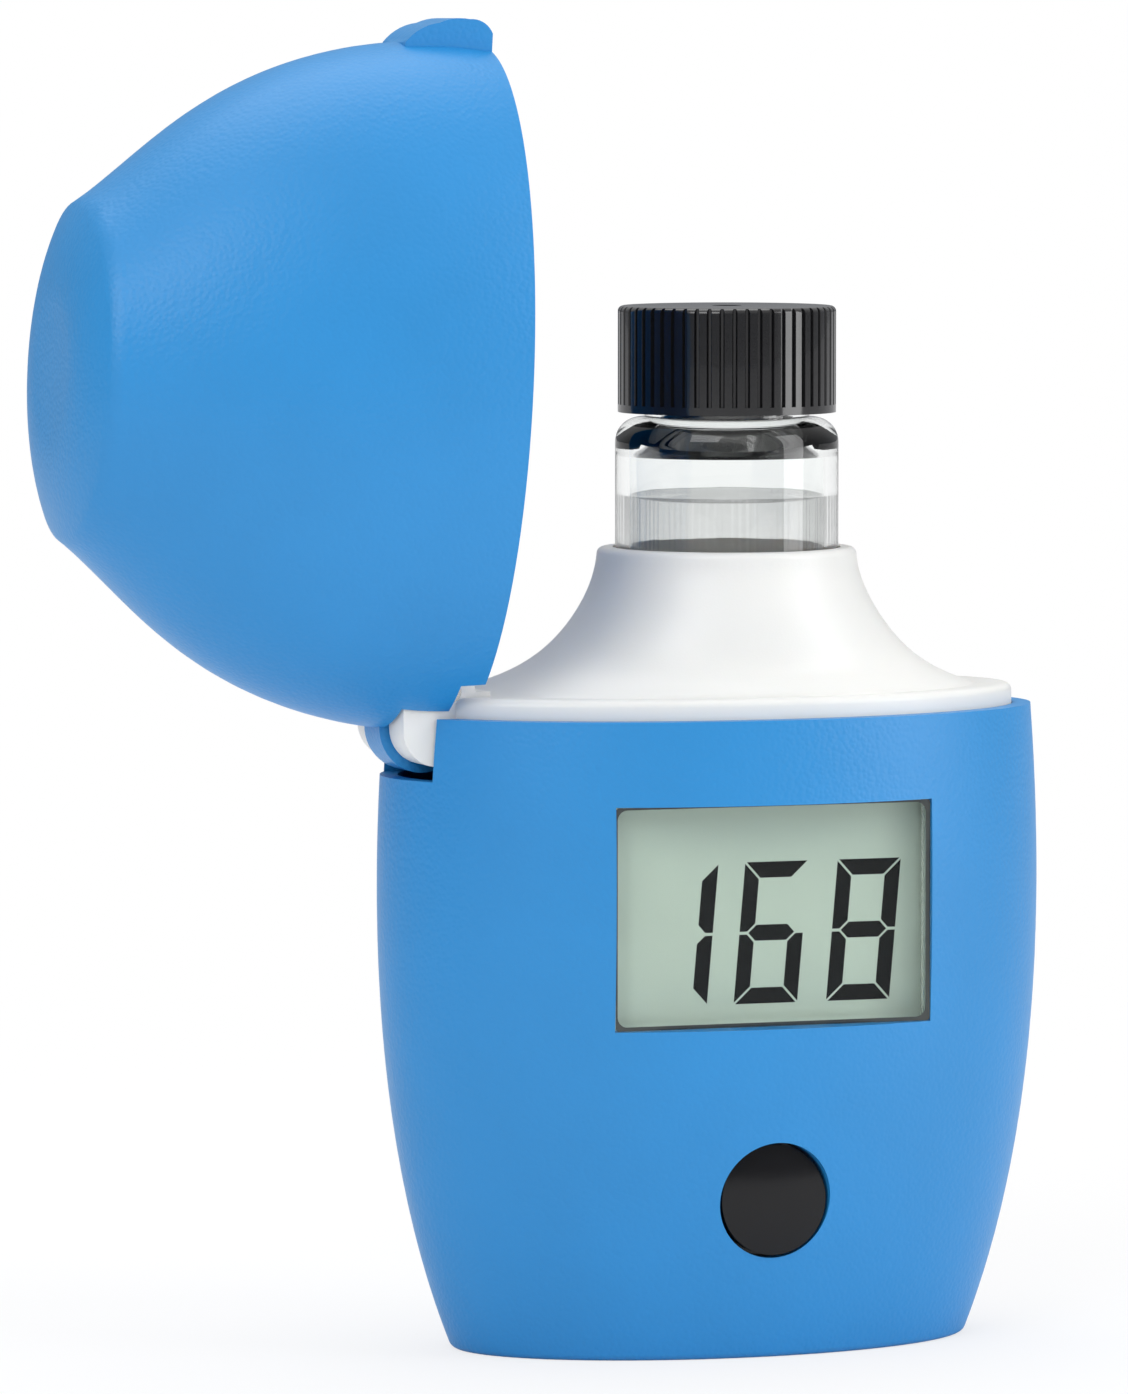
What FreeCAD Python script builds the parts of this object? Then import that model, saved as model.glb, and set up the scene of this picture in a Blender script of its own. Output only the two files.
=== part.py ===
import FreeCAD, Part
import math
import os
import re
import Sketcher

# Pocket photometer with a hinged dome lid, standing open with its sample vial in the well.
# Frame: +Z up, -Y is the display side, the lid hinge is at -X. The origin is the centre of
# the flat base. Millimetres.

doc = FreeCAD.newDocument("PocketPhotometer")
V = FreeCAD.Vector

# Driving sizes, each written once. Angles are in degrees.
SIZES = {
    # Case: half widths along X and half depths along Y at six heights
    "case_height": 56.4,
    "base_half_width": 23.8,
    "base_half_depth": 13.7,
    "ankle_height": 6.0,
    "ankle_half_width": 25.95,
    "ankle_half_depth": 15.15,
    "hip_height": 16.0,
    "hip_half_width": 28.4,
    "hip_half_depth": 17.0,
    "waist_height": 30.0,
    "waist_half_width": 30.15,
    "waist_half_depth": 18.4,
    "chest_height": 42.0,
    "chest_half_width": 30.5,
    "chest_half_depth": 18.75,
    "rim_half_width": 29.9,
    "rim_half_depth": 18.1,
    "case_wall": 1.6,
    "case_floor": 1.8,
    "base_edge_radius": 0.8,
    # Ledge inside the case mouth that carries the collar
    "ledge_drop": 3.1,
    "ledge_thickness": 1.4,
    "ledge_width": 1.5,
    "seat_gap": 0.12,
    # Collar: skirt in the case mouth, funnel up to the round throat
    "skirt_wall": 1.7,
    "skirt_proud": 1.8,
    "skirt_edge_radius": 0.7,
    "funnel_foot_width": 24.4,
    "funnel_foot_depth": 15.0,
    "funnel_low_rise": 1.1,
    "funnel_low_width": 20.6,
    "funnel_low_depth": 14.2,
    "funnel_mid_rise": 3.2,
    "funnel_mid_width": 16.8,
    "funnel_mid_depth": 13.2,
    "funnel_high_rise": 6.0,
    "funnel_high_width": 14.0,
    "funnel_neck_rise": 9.0,
    "funnel_neck_width": 12.25,
    "throat_radius": 11.5,
    "throat_height": 70.6,
    "throat_lip_radius": 0.6,
    # Vial and the well that holds it
    "vial_offset": 1.64,
    "vial_radius": 9.9,
    "vial_gap": 0.2,
    "vial_glass": 1.25,
    "vial_base_glass": 1.4,
    "vial_bottom": 28.1,
    "vial_shoulder_height": 79.9,
    "vial_shoulder_radius": 2.2,
    "vial_heel_radius": 0.9,
    "vial_neck_radius": 7.3,
    "vial_bore_radius": 5.9,
    "vial_top": 89.7,
    "fill_height": 75.2,
    "well_wall": 1.0,
    "well_floor": 1.1,
    "well_top": 66.0,
    "well_flange_radius": 14.0,
    "well_flange_thickness": 1.2,
    "socket_gap": 0.1,
    "socket_wall": 1.5,
    # Optical path along X through the lower well
    "optic_height": 34.0,
    "optic_boss_radius": 3.9,
    "optic_boss_reach": 5.3,
    "optic_bore_radius": 2.55,
    "optic_bore_depth": 3.8,
    "optic_slit_radius": 1.3,
    "optic_gap": 0.05,
    "lens_length": 1.6,
    "lens_radius": 2.6,
    "lens_flat_radius": 0.5,
    "filter_thickness": 1.3,
    "optic_board_thickness": 1.0,
    "optic_board_width": 8.6,
    "optic_board_height": 10.0,
    # Cap
    "cap_radius": 9.67,
    "cap_bottom": 82.55,
    "cap_top": 91.95,
    "cap_bore_radius": 7.6,
    "cap_roof": 1.45,
    "cap_edge_radius": 0.5,
    "cap_plain_band": 0.7,
    "cap_dimple_radius": 1.3,
    "cap_dimple_depth": 0.25,
    "rib_groove_depth": 0.32,
    "rib_groove_width": 0.42,
    "rib_count": 54,
    "liner_radius": 7.4,
    "liner_thickness": 0.75,
    # Lid, drawn closed and then turned open about its pin
    "lid_gap": 0.3,
    "lid_wall": 1.2,
    "lid_crown_wall": 0.9,
    "lid_cheek_rise": 9.0,
    "lid_cheek_width": 29.8,
    "lid_cheek_depth": 18.0,
    "lid_brow_rise": 18.4,
    "lid_brow_width": 27.3,
    "lid_brow_depth": 16.9,
    "lid_arch_rise": 25.8,
    "lid_arch_width": 23.2,
    "lid_arch_depth": 15.2,
    "lid_crest_rise": 31.4,
    "lid_crest_width": 18.6,
    "lid_crest_depth": 13.4,
    "lid_facet_rise": 36.0,
    "lid_facet_width": 14.8,
    "lid_facet_depth": 11.9,
    "lid_crown_rise": 37.3,
    "lid_crown_width": 11.0,
    "lid_crown_depth": 8.8,
    "lid_top_rise": 37.8,
    "lid_top_width": 5.0,
    "lid_top_depth": 4.0,
    "lid_open_angle": 87.0,
    "tab_half_width": 3.1,
    "tab_reach": 2.3,
    "tab_height": 8.0,
    "tab_root": 1.0,
    # Hinge: pin in two white ears, blue knuckle between them
    "pin_side": -26.4,
    "pin_rise": 2.3,
    "pin_radius": 0.9,
    "pin_gap": 0.05,
    "ear_inner": 2.4,
    "ear_outer": 6.3,
    "ear_toe_side": -27.6,
    "ear_toe_drop": 1.0,
    "ear_toe_radius": 3.2,
    "ear_boss_radius": 2.2,
    "ear_root": 3.6,
    "knuckle_half_width": 2.05,
    "knuckle_bow_radius": 4.0,
    "knuckle_boss_radius": 2.1,
    "hinge_gap": 0.3,
    "notch_side": -26.0,
    "lid_relief_half_width": 9.5,
    "lid_relief_rise": 2.25,
    "lid_slot_rise": 6.6,
    # Display stack behind the front wall
    "display_height": 39.24,
    "display_width": 29.5,
    "display_tall": 19.6,
    "window_front": -16.0,
    "window_seat": -13.6,
    "window_lip": 0.5,
    "window_lip_thickness": 0.8,
    "window_chamfer": 0.6,
    "window_gap": 0.1,
    "pad_border": 2.7,
    "panel_width": 31.0,
    "panel_bottom": 24.6,
    "panel_top": 49.9,
    "panel_thickness": 1.5,
    "frame_gap": 0.1,
    "frame_wall": 1.2,
    "frame_hook": 0.35,
    "frame_notch_half": 4.0,
    "zebra_length": 26.0,
    "zebra_bottom": 24.75,
    "zebra_top": 26.2,
    # Main board
    "board_front": -9.6,
    "board_thickness": 1.6,
    "board_half_width": 15.4,
    "board_bottom": 5.2,
    "board_top": 26.4,
    "board_corner": 1.2,
    "board_screw_side": 12.6,
    "board_screw_low": 8.2,
    "board_screw_high": 20.6,
    "board_boss_radius": 2.0,
    "board_screw_radius": 0.8,
    "board_screw_reach": 3.0,
    "board_screw_head_radius": 1.6,
    "board_screw_head": 1.0,
    "chip_size": 7.0,
    "chip_thickness": 1.1,
    "chip_side": -3.0,
    "chip_height": 13.5,
    "capacitor_radius": 2.0,
    "capacitor_length": 1.8,
    "capacitor_side": 6.5,
    "capacitor_height": 16.5,
    "resistor_count": 4,
    "resistor_pitch": 2.2,
    "resistor_length": 1.6,
    "resistor_width": 0.8,
    "resistor_thickness": 0.5,
    "resistor_side": 4.0,
    "resistor_height": 10.0,
    # Power button and its switch
    "button_height": 14.24,
    "button_radius": 4.85,
    "button_gap": 0.3,
    "button_front": -16.15,
    "button_dome": 0.35,
    "button_crown_radius": 36,
    "button_flat_radius": 0.8,
    "button_flange_radius": 5.65,
    "button_seat_wall": 0.9,
    "button_flange_front": -14.3,
    "button_flange_thickness": 0.7,
    "button_stem_radius": 1.5,
    "button_travel": 0.4,
    "switch_size": 6.0,
    "switch_depth": 2.9,
    "plunger_radius": 1.7,
    "plunger_proud": 0.9,
    "plunger_inside": 0.8,
    "touch_gap": 0.03,
    # Cell and its holder
    "cell_radius": 5.25,
    "cell_length": 43.7,
    "cell_nub_radius": 1.9,
    "cell_nub": 0.8,
    "cell_left": -21.6,
    "cell_depth": 1.0,
    "cell_height": 14.2,
    "cell_gap": 0.1,
    "contact_thickness": 0.4,
    "contact_half": 3.3,
    "spring_length": 1.1,
    "tongue_half_width": 1.8,
    "holder_half_length": 20.0,
    "holder_bottom": 6.4,
    "holder_rim": 10.8,
    "holder_back": 6.0,
    "rail_thickness": 0.95,
    "rail_bottom": 12.2,
    "rail_top": 16.4,
    "holder_end": 0.85,
    "holder_end_back": 4.0,
    "holder_foot_side": 12.0,
    "holder_foot_width": 2.0,
    "holder_foot_half": 3.6,
    # Battery door in the rear shell
    "door_half_width": 23.0,
    "door_bottom": 6.2,
    "door_top": 25.6,
    "door_gap": 0.2,
    "door_inner_limit": 4.5,
    "door_seat_height": 1.2,
    "door_seat_width": 1.2,
    "door_seat_half_width": 20.0,
    "door_screw_height": 22.6,
    "door_boss_radius": 3.1,
    "door_boss_front": 7.6,
    "door_rib_half_width": 1.2,
    "door_joint": 14.5,
    "door_screw_seat": 16.3,
    "door_screw_head_radius": 2.2,
    "door_screw_head": 1.2,
    "door_screw_radius": 1.0,
    "door_screw_tip": 10.8,
    "insert_radius": 1.9,
    "insert_length": 4.0,
    # Case screws
    "screw_high_side": 21.5,
    "screw_high": 46.0,
    "screw_low_side": 19.6,
    "screw_low": 24.4,
    "screw_boss_radius": 2.6,
    "screw_seat": 10.2,
    "screw_low_seat": 7.3,
    "screw_web": 1.0,
    "screw_radius": 1.0,
    "screw_gap": 0.02,
    "screw_head_radius": 1.9,
    "screw_head": 1.7,
    "screw_head_gap": 0.3,
    "screw_hole_gap": 0.2,
    "screw_tip": -6.2,
    "screw_slot_width": 0.5,
    "screw_slot_depth": 0.6,
}

sheet = doc.addObject("Spreadsheet::Sheet", "Sizes")
for row, (alias, size) in enumerate(SIZES.items(), start=1):
    sheet.set(f"A{row}", alias)
    sheet.set(f"B{row}", str(size))
    sheet.setAlias(f"B{row}", alias)
doc.recompute()

WORDS = re.compile(r"\b(" + "|".join(sorted(SIZES, key=len, reverse=True)) + r")\b")
parts = {}


def bound(text):
    # The same formula with every size read from the sheet
    return WORDS.sub(r"Sizes.\1", text)


def value(text):
    # The formula's number, for the first guess of a sketch
    words = WORDS.sub(lambda match: repr(float(SIZES[match.group(1)])), text)
    return float(FreeCAD.Units.Quantity(words).Value)


def keep(node, thing):
    # A finished sub-part: its label names its file
    thing.Label = node
    parts[node] = thing
    return thing


def place(thing, x="0", y="0", z="0"):
    for axis, text in (("x", x), ("y", y), ("z", z)):
        thing.setExpression("Placement.Base." + axis, bound(text))
    return thing


def ellipse(name, width, depth, height, side="0"):
    ring = doc.addObject("Part::Ellipse", name)
    ring.setExpression("MajorRadius", bound(width))
    ring.setExpression("MinorRadius", bound(depth))
    return place(ring, side, "0", height)


def loft(name, rings):
    # rings: (half width, half depth, height, side) from the bottom up
    body = doc.addObject("Part::Loft", name)
    body.Sections = [ellipse(f"{name}_{n}", *ring) for n, ring in enumerate(rings)]
    body.Solid = True
    return body


def column(name, ring, top):
    # An upright oval column from its ring to a height
    body = doc.addObject("Part::Extrusion", name)
    body.Base = ellipse(name + "_foot", *ring)
    body.DirMode = "Custom"
    body.Dir = V(0, 0, 1)
    body.setExpression("LengthFwd", bound(f"({top}) - ({ring[2]})"))
    body.Solid = True
    return body


def block(name, low, high):
    # A box between two corners
    box = doc.addObject("Part::Box", name)
    for side, start, end in zip(("Length", "Width", "Height"), low, high):
        box.setExpression(side, bound(f"({end}) - ({start})"))
    return place(box, *low)


TURNS = {
    "x": FreeCAD.Rotation(V(0, 1, 0), 90),
    "y": FreeCAD.Rotation(V(1, 0, 0), -90),
    "z": FreeCAD.Rotation(),
}


def rod(name, axis, radius, start, end, across):
    # A cylinder along an axis from start to end; across gives its other two places
    bar = doc.addObject("Part::Cylinder", name)
    bar.setExpression("Radius", bound(radius))
    bar.setExpression("Height", bound(f"({end}) - ({start})"))
    bar.Placement = FreeCAD.Placement(V(), TURNS[axis])
    spot = dict(zip([a for a in "xyz" if a != axis], across))
    spot[axis] = start
    return place(bar, spot["x"], spot["y"], spot["z"])


def fuse(name, *shapes):
    thing = doc.addObject("Part::MultiFuse", name)
    thing.Shapes = list(shapes)
    thing.Refine = False
    return thing


def common(name, *shapes):
    thing = doc.addObject("Part::MultiCommon", name)
    thing.Shapes = list(shapes)
    thing.Refine = False
    return thing


def cut(name, base, *tools):
    thing = doc.addObject("Part::Cut", name)
    thing.Base = base
    thing.Tool = tools[0] if len(tools) == 1 else fuse(name + "_tools", *tools)
    thing.Refine = False
    return thing


def carve(name, base, *tools):
    # The same as cut, one tool after another
    for n, tool in enumerate(tools):
        base = cut(f"{name}_{n}", base, tool)
    return base


def new_body(node):
    return keep(node, doc.addObject("PartDesign::Body", node))


def new_sketch(body, role, name):
    sketch = body.newObject("Sketcher::SketchObject", name)
    plane = [item for item in body.Origin.OriginFeatures if item.Role == role][0]
    sketch.AttachmentSupport = [(plane, "")]
    sketch.MapMode = "FlatFace"
    return sketch


def hold(sketch, kind, *items):
    # A driving dimension tied to the sheet; the last item is its formula
    text = items[-1]
    number = sketch.addConstraint(Sketcher.Constraint(kind, *items[:-1], value(text)))
    sketch.setExpression(f"Constraints[{number}]", bound(text))


def outline(sketch, corners):
    # A closed outline of lines and arcs. A corner is (x, y), or (x, y, radius, turn) where the
    # stretch to the next corner is an arc of that radius, turn +1 anticlockwise, -1 clockwise.
    first = sketch.GeometryCount
    total = len(corners)
    spots = [V(value(corner[0]), value(corner[1]), 0) for corner in corners]
    for n, corner in enumerate(corners):
        start, end = spots[n], spots[(n + 1) % total]
        if len(corner) == 2:
            sketch.addGeometry(Part.LineSegment(start, end), False)
            continue
        radius, turn = value(corner[2]), corner[3]
        half = (end - start) * 0.5
        rise = math.sqrt(max(radius ** 2 - half.Length ** 2, 0))
        normal = V(-half.y, half.x, 0).normalize() * (rise * turn)
        centre = start + half + normal
        aim = start + half - centre
        if aim.Length < 1e-6:
            aim = V(half.y, -half.x, 0) * turn
        middle = centre + aim.normalize() * radius
        sketch.addGeometry(Part.Arc(start, middle, end), False)
    ends = []
    for n, corner in enumerate(corners):
        # A clockwise arc is stored the other way round
        ends.append((2, 1) if len(corner) == 4 and corner[3] < 0 else (1, 2))
    for n in range(total):
        after = (n + 1) % total
        sketch.addConstraint(
            Sketcher.Constraint("Coincident", first + n, ends[n][1], first + after, ends[after][0]))
    for n, corner in enumerate(corners):
        hold(sketch, "DistanceX", first + n, ends[n][0], corner[0])
        hold(sketch, "DistanceY", first + n, ends[n][0], corner[1])
        if len(corner) == 4:
            hold(sketch, "Radius", first + n, corner[2])
    return sketch


def rectangle(sketch, half_width, half_height):
    return outline(sketch, [
        (f"-({half_width})", f"-({half_height})"), (half_width, f"-({half_height})"),
        (half_width, half_height), (f"-({half_width})", half_height)])


def circle(sketch, radius, x="0", y="0"):
    number = sketch.addGeometry(Part.Circle(V(value(x), value(y), 0), V(0, 0, 1), value(radius)), False)
    hold(sketch, "Radius", number, radius)
    hold(sketch, "DistanceX", number, 3, x)
    hold(sketch, "DistanceY", number, 3, y)


def pad(body, sketch, length, name, backwards=False):
    feature = body.newObject("PartDesign::Pad", name)
    feature.Profile = sketch
    feature.setExpression("Length", bound(length))
    feature.Reversed = backwards
    return feature


def pocket(body, sketch, length, name, backwards=False):
    feature = body.newObject("PartDesign::Pocket", name)
    feature.Profile = sketch
    feature.setExpression("Length", bound(length))
    feature.Reversed = backwards
    return feature


def turned(node, role, corners, axis="V_Axis"):
    # A turned piece: its half section swept once round the sketch's axis
    body = new_body(node)
    sketch = outline(new_sketch(body, role, node + "_section"), corners)
    feature = body.newObject("PartDesign::Revolution", node + "_turn")
    feature.Profile = sketch
    feature.ReferenceAxis = (sketch, [axis])
    feature.Angle = 360
    return body


def slab(node, half_width, half_height, thickness):
    # A flat plate facing -Y, its back face on the body's own XZ plane
    body = new_body(node)
    sketch = rectangle(new_sketch(body, "XZ_Plane", node + "_outline"), half_width, half_height)
    pad(body, sketch, thickness, node + "_plate")
    return body


# Case: a barrel of oval sections, wide at the chest, parted front and rear on the mid plane
def case_rings(inset, floor):
    # The oval sections from the floor up, drawn in by a wall
    slope_w = "(ankle_half_width - base_half_width) / ankle_height"
    slope_d = "(ankle_half_depth - base_half_depth) / ankle_height"
    return [
        (f"base_half_width + {slope_w} * ({floor}) - ({inset})",
         f"base_half_depth + {slope_d} * ({floor}) - ({inset})", floor),
        (f"ankle_half_width - ({inset})", f"ankle_half_depth - ({inset})", "ankle_height"),
        (f"hip_half_width - ({inset})", f"hip_half_depth - ({inset})", "hip_height"),
        (f"waist_half_width - ({inset})", f"waist_half_depth - ({inset})", "waist_height"),
        (f"chest_half_width - ({inset})", f"chest_half_depth - ({inset})", "chest_height"),
        (f"rim_half_width - ({inset})", f"rim_half_depth - ({inset})", "case_height"),
    ]


case_barrel = loft("case_barrel", case_rings("0", "0"))
case_cavity = loft("case_cavity", case_rings("case_wall", "case_floor"))
ledge_core = loft("ledge_core", case_rings("case_wall + ledge_width", "case_floor"))
doc.recompute()
case_outer = doc.addObject("Part::Fillet", "case_outer")
case_outer.Base = case_barrel
base_edges = [n for n, edge in enumerate(case_barrel.Shape.Edges, start=1) if edge.BoundBox.ZMax < 0.01]
case_outer.Edges = [(n, SIZES["base_edge_radius"], SIZES["base_edge_radius"]) for n in base_edges]

FAR = "rim_half_width * 2"
well_outer = "vial_radius + vial_gap + well_wall"
case_tube = cut("case_tube", case_outer, case_cavity)
ledge_slab = block("ledge_slab", (f"-{FAR}", f"-{FAR}", "case_height - ledge_drop - ledge_thickness"), (FAR, FAR, "case_height - ledge_drop"))
case_ledge = cut("case_ledge", common("ledge_band", case_outer, ledge_slab), ledge_core)
case_ring = fuse("case_ring", case_tube, case_ledge)
front_half = block("front_half", (f"-{FAR}", f"-{FAR}", "-1"), (FAR, "0", "case_height + 1"))
rear_half = block("rear_half", (f"-{FAR}", "0", "-1"), (FAR, FAR, "case_height + 1"))

# The notch at the hinge end: room for the ears, and a deeper slot for the knuckle
notch_floor = "case_height - ear_toe_drop - ear_toe_radius - hinge_gap / 2"
slot_floor = "case_height - ear_toe_drop - knuckle_bow_radius - hinge_gap"
hinge_notch = block("hinge_notch", (f"-{FAR}", "-(ear_outer + hinge_gap)", notch_floor),
                    ("notch_side", "ear_outer + hinge_gap", "case_height + 1"))
hinge_slot = block("hinge_slot", (f"-{FAR}", "-(knuckle_half_width + hinge_gap)", slot_floor),
                   ("pin_side + ear_root", "knuckle_half_width + hinge_gap", "case_height + pin_rise + lid_slot_rise"))
ledge_room = block("ledge_room", (f"-{FAR}", "-(ear_outer + hinge_gap)", "case_height - ledge_drop - ledge_thickness - 1"),
                   ("pin_side + ear_root", "ear_outer + hinge_gap", "case_height + 1"))

SCREWS = [("-screw_high_side", "screw_high", "screw_seat"), ("screw_high_side", "screw_high", "screw_seat"),
          ("-screw_low_side", "screw_low", "screw_low_seat"), ("screw_low_side", "screw_low", "screw_low_seat")]
BOARD_SCREWS = [("-board_screw_side", "board_screw_high"), ("board_screw_side", "board_screw_high"),
                ("-board_screw_side", "board_screw_low"), ("board_screw_side", "board_screw_low")]

# Front shell: display opening with its flat pad behind, button hole, screw bosses
pad_half_width = "display_width / 2 + pad_border"
display_pad = common("display_pad", case_outer, block(
    "pad_block", (f"-({pad_half_width})", f"-{FAR}", "panel_bottom - frame_wall - 0.4"),
    (pad_half_width, "window_seat", "panel_top + frame_wall + 0.4")))
display_opening = block("display_opening",
                        ("-display_width / 2", f"-{FAR}", "display_height - display_tall / 2"),
                        ("display_width / 2", "window_seat + 1", "display_height + display_tall / 2"))
button_hole = rod("button_hole", "y", "button_radius + button_gap", f"-{FAR}", "button_flange_front",
                  ("0", "button_height"))
button_seat = common("button_seat", case_outer, rod(
    "button_seat_rod", "y", "button_flange_radius + button_gap + button_seat_wall", f"-{FAR}",
    "button_flange_front - touch_gap", ("0", "button_height")))
button_room = rod("button_room", "y", "button_flange_radius + button_gap", "button_flange_front - touch_gap",
                  "board_front", ("0", "button_height"))
frame_room = block("frame_room",
                   ("-(panel_width / 2 + frame_wall + frame_gap * 2)", "window_seat",
                    "panel_bottom - frame_wall - frame_gap * 2"),
                   ("panel_width / 2 + frame_wall + frame_gap * 2", "board_front",
                    "panel_top + frame_wall + frame_gap * 2"))
front_bosses = []
front_holes = []
for n, (side, height, seat) in enumerate(SCREWS):
    shaft = rod(f"front_boss_{n}", "y", "screw_boss_radius", f"-{FAR}", "0", (side, height))
    front_bosses.append(common(f"front_boss_trim_{n}", case_outer, shaft))
    front_holes.append(rod(f"front_pilot_{n}", "y", "screw_radius + screw_gap", "screw_tip - screw_gap * 10",
                           "1", (side, height)))
for n, (side, height) in enumerate(BOARD_SCREWS):
    shaft = rod(f"board_boss_{n}", "y", "board_boss_radius", f"-{FAR}", "board_front", (side, height))
    front_bosses.append(common(f"board_boss_trim_{n}", case_outer, shaft))
    front_holes.append(rod(f"board_pilot_{n}", "y", "board_screw_radius + screw_gap",
                           "board_front - board_screw_reach - screw_gap * 10", "board_front + 1",
                           (side, height)))
front_blank = fuse("front_blank", common("front_skin", case_ring, front_half), display_pad, button_seat,
                   *front_bosses)
keep("front_shell", cut("front_shell", front_blank, display_opening, frame_room, button_hole, button_room,
                        hinge_notch, hinge_slot, ledge_room, *front_holes))

# Rear shell: battery doorway with its seats and screw boss, counterbored case screws
door_block = block("door_block", ("-door_half_width", "door_inner_limit", "door_bottom"),
                   ("door_half_width", FAR, "door_top"))
doorway = block("doorway", ("-(door_half_width + door_gap)", "door_inner_limit", "door_bottom - door_gap"),
                ("door_half_width + door_gap", FAR, "door_top + door_gap"))
seat_core = loft("seat_core", case_rings("case_wall + door_seat_width", "case_floor"))
seat_band = block("seat_band", ("-door_seat_half_width", "door_inner_limit", "door_bottom - door_seat_height * 2"),
                  ("door_seat_half_width", FAR, "door_top + door_seat_height * 2"))
seat_low = "door_bottom + door_seat_height"
seat_high = "door_screw_height - door_boss_radius + door_seat_height"
seat_opening = block("seat_opening", (f"-{FAR}", "door_inner_limit - 1", seat_low), (FAR, FAR, seat_high))
door_seats = cut("door_seats", common("seat_strip", cut("seat_skin", case_cavity, seat_core), seat_band),
                 seat_opening)
door_boss = rod("door_boss", "y", "door_boss_radius", "door_boss_front", "door_joint",
                ("0", "door_screw_height"))
door_rib = common("door_rib", case_cavity, block(
    "door_rib_block", ("-door_rib_half_width", f"{well_outer} + door_gap", "door_screw_height"),
    ("door_rib_half_width", FAR, "door_top + door_seat_height * 2")))
door_boss_room = rod("door_boss_room", "y", "door_boss_radius + door_gap", "door_joint", FAR,
                     ("0", "door_screw_height"))
insert_hole = rod("insert_hole", "y", "insert_radius + screw_gap", "door_joint - insert_length",
                  "door_joint + 1", ("0", "door_screw_height"))
insert_relief = rod("insert_relief", "y", "door_screw_radius + 0.2", "door_screw_tip - 1",
                    "door_joint", ("0", "door_screw_height"))
# The two low screws are hidden under the door, so their bosses stop below it on a web from the skin
rear_bosses = []
rear_holes = []
for n, (side, height, seat) in enumerate(SCREWS):
    low = seat == "screw_low_seat"
    end = "screw_low_seat + screw_head" if low else FAR
    shaft = rod(f"rear_boss_{n}", "y", "screw_boss_radius", "0", end, (side, height))
    rear_bosses.append(shaft if low else common(f"rear_boss_trim_{n}", case_outer, shaft))
    if low:
        rear_bosses.append(common(f"rear_web_{n}", case_outer, block(
            f"rear_web_block_{n}", (f"{side} - screw_web", "0", "door_top + door_gap"),
            (f"{side} + screw_web", FAR, "screw_low + screw_boss_radius"))))
    rear_holes.append(rod(f"rear_hole_{n}", "y", "screw_radius + screw_hole_gap", "-1", FAR, (side, height)))
    rear_holes.append(rod(f"rear_sink_{n}", "y", "screw_head_radius + screw_head_gap", seat, end,
                          (side, height)))
rear_skin = cut("rear_skin", common("rear_half_skin", case_ring, rear_half), doorway)
rear_blank = fuse("rear_blank", rear_skin, door_seats, door_rib, door_boss, *rear_bosses)
keep("rear_shell", cut("rear_shell", rear_blank, door_boss_room, insert_hole, insert_relief, hinge_notch,
                       hinge_slot, ledge_room, *rear_holes))

# Battery door: the same skin as the rear shell, with a counterbored lug for its one screw
door_lug = common("door_lug", case_outer, rod("door_lug_rod", "y", "door_boss_radius",
                                              "door_joint + socket_gap", FAR, ("0", "door_screw_height")))
door_skin = fuse("door_skin", common("door_plate", case_tube, door_block), door_lug)
keep("battery_cover", cut(
    "battery_cover", door_skin,
    rod("door_sink", "y", "door_screw_head_radius + screw_head_gap", "door_screw_seat", FAR,
        ("0", "door_screw_height")),
    rod("door_hole", "y", "door_screw_radius + 0.1", "door_joint", FAR, ("0", "door_screw_height"))))

# Collar: skirt in the case mouth, concave funnel, socket for the well, and the hinge ears
skirt_top = "case_height + skirt_proud"


def skirt_ring(inset, height):
    # An oval that fits the case mouth, drawn in further by an inset
    return (f"rim_half_width - case_wall - seat_gap - ({inset})",
            f"rim_half_depth - case_wall - seat_gap - ({inset})", height)


skirt = column("skirt", skirt_ring("0", "case_height - ledge_drop"), f"{skirt_top} - skirt_edge_radius")
skirt_edge = loft("skirt_edge", [
    skirt_ring("0", f"{skirt_top} - skirt_edge_radius"),
    skirt_ring("skirt_edge_radius * 0.14", f"{skirt_top} - skirt_edge_radius * 0.5"),
    skirt_ring("skirt_edge_radius * 0.5", f"{skirt_top} - skirt_edge_radius * 0.14"),
    skirt_ring("skirt_edge_radius", skirt_top)])


def funnel_rings(inset):
    foot = "case_height + skirt_proud - 0.2"
    return [
        (f"funnel_foot_width - ({inset})", f"funnel_foot_depth - ({inset})", foot, "vial_offset / 3"),
        (f"funnel_low_width - ({inset})", f"funnel_low_depth - ({inset})",
         "case_height + skirt_proud + funnel_low_rise", "vial_offset * 2 / 3"),
        (f"funnel_mid_width - ({inset})", f"funnel_mid_depth - ({inset})",
         "case_height + skirt_proud + funnel_mid_rise", "vial_offset * 0.9"),
        (f"funnel_high_width - ({inset})", f"(funnel_high_width + throat_radius) / 2 - ({inset})",
         "case_height + skirt_proud + funnel_high_rise", "vial_offset"),
        (f"funnel_neck_width - ({inset})", f"(funnel_neck_width + throat_radius) / 2 - ({inset})",
         "case_height + skirt_proud + funnel_neck_rise", "vial_offset"),
        (f"throat_radius - ({inset})", f"throat_radius - ({inset})", "throat_height", "vial_offset"),
    ]


funnel = loft("funnel", funnel_rings("0"))
doc.recompute()
funnel_rounded = doc.addObject("Part::Fillet", "funnel_rounded")
funnel_rounded.Base = funnel
throat = SIZES["throat_height"]
lip_edges = [n for n, edge in enumerate(funnel.Shape.Edges, start=1) if edge.BoundBox.ZMin > throat - 0.01]
funnel_rounded.Edges = [(n, SIZES["throat_lip_radius"], SIZES["throat_lip_radius"]) for n in lip_edges]

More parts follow.
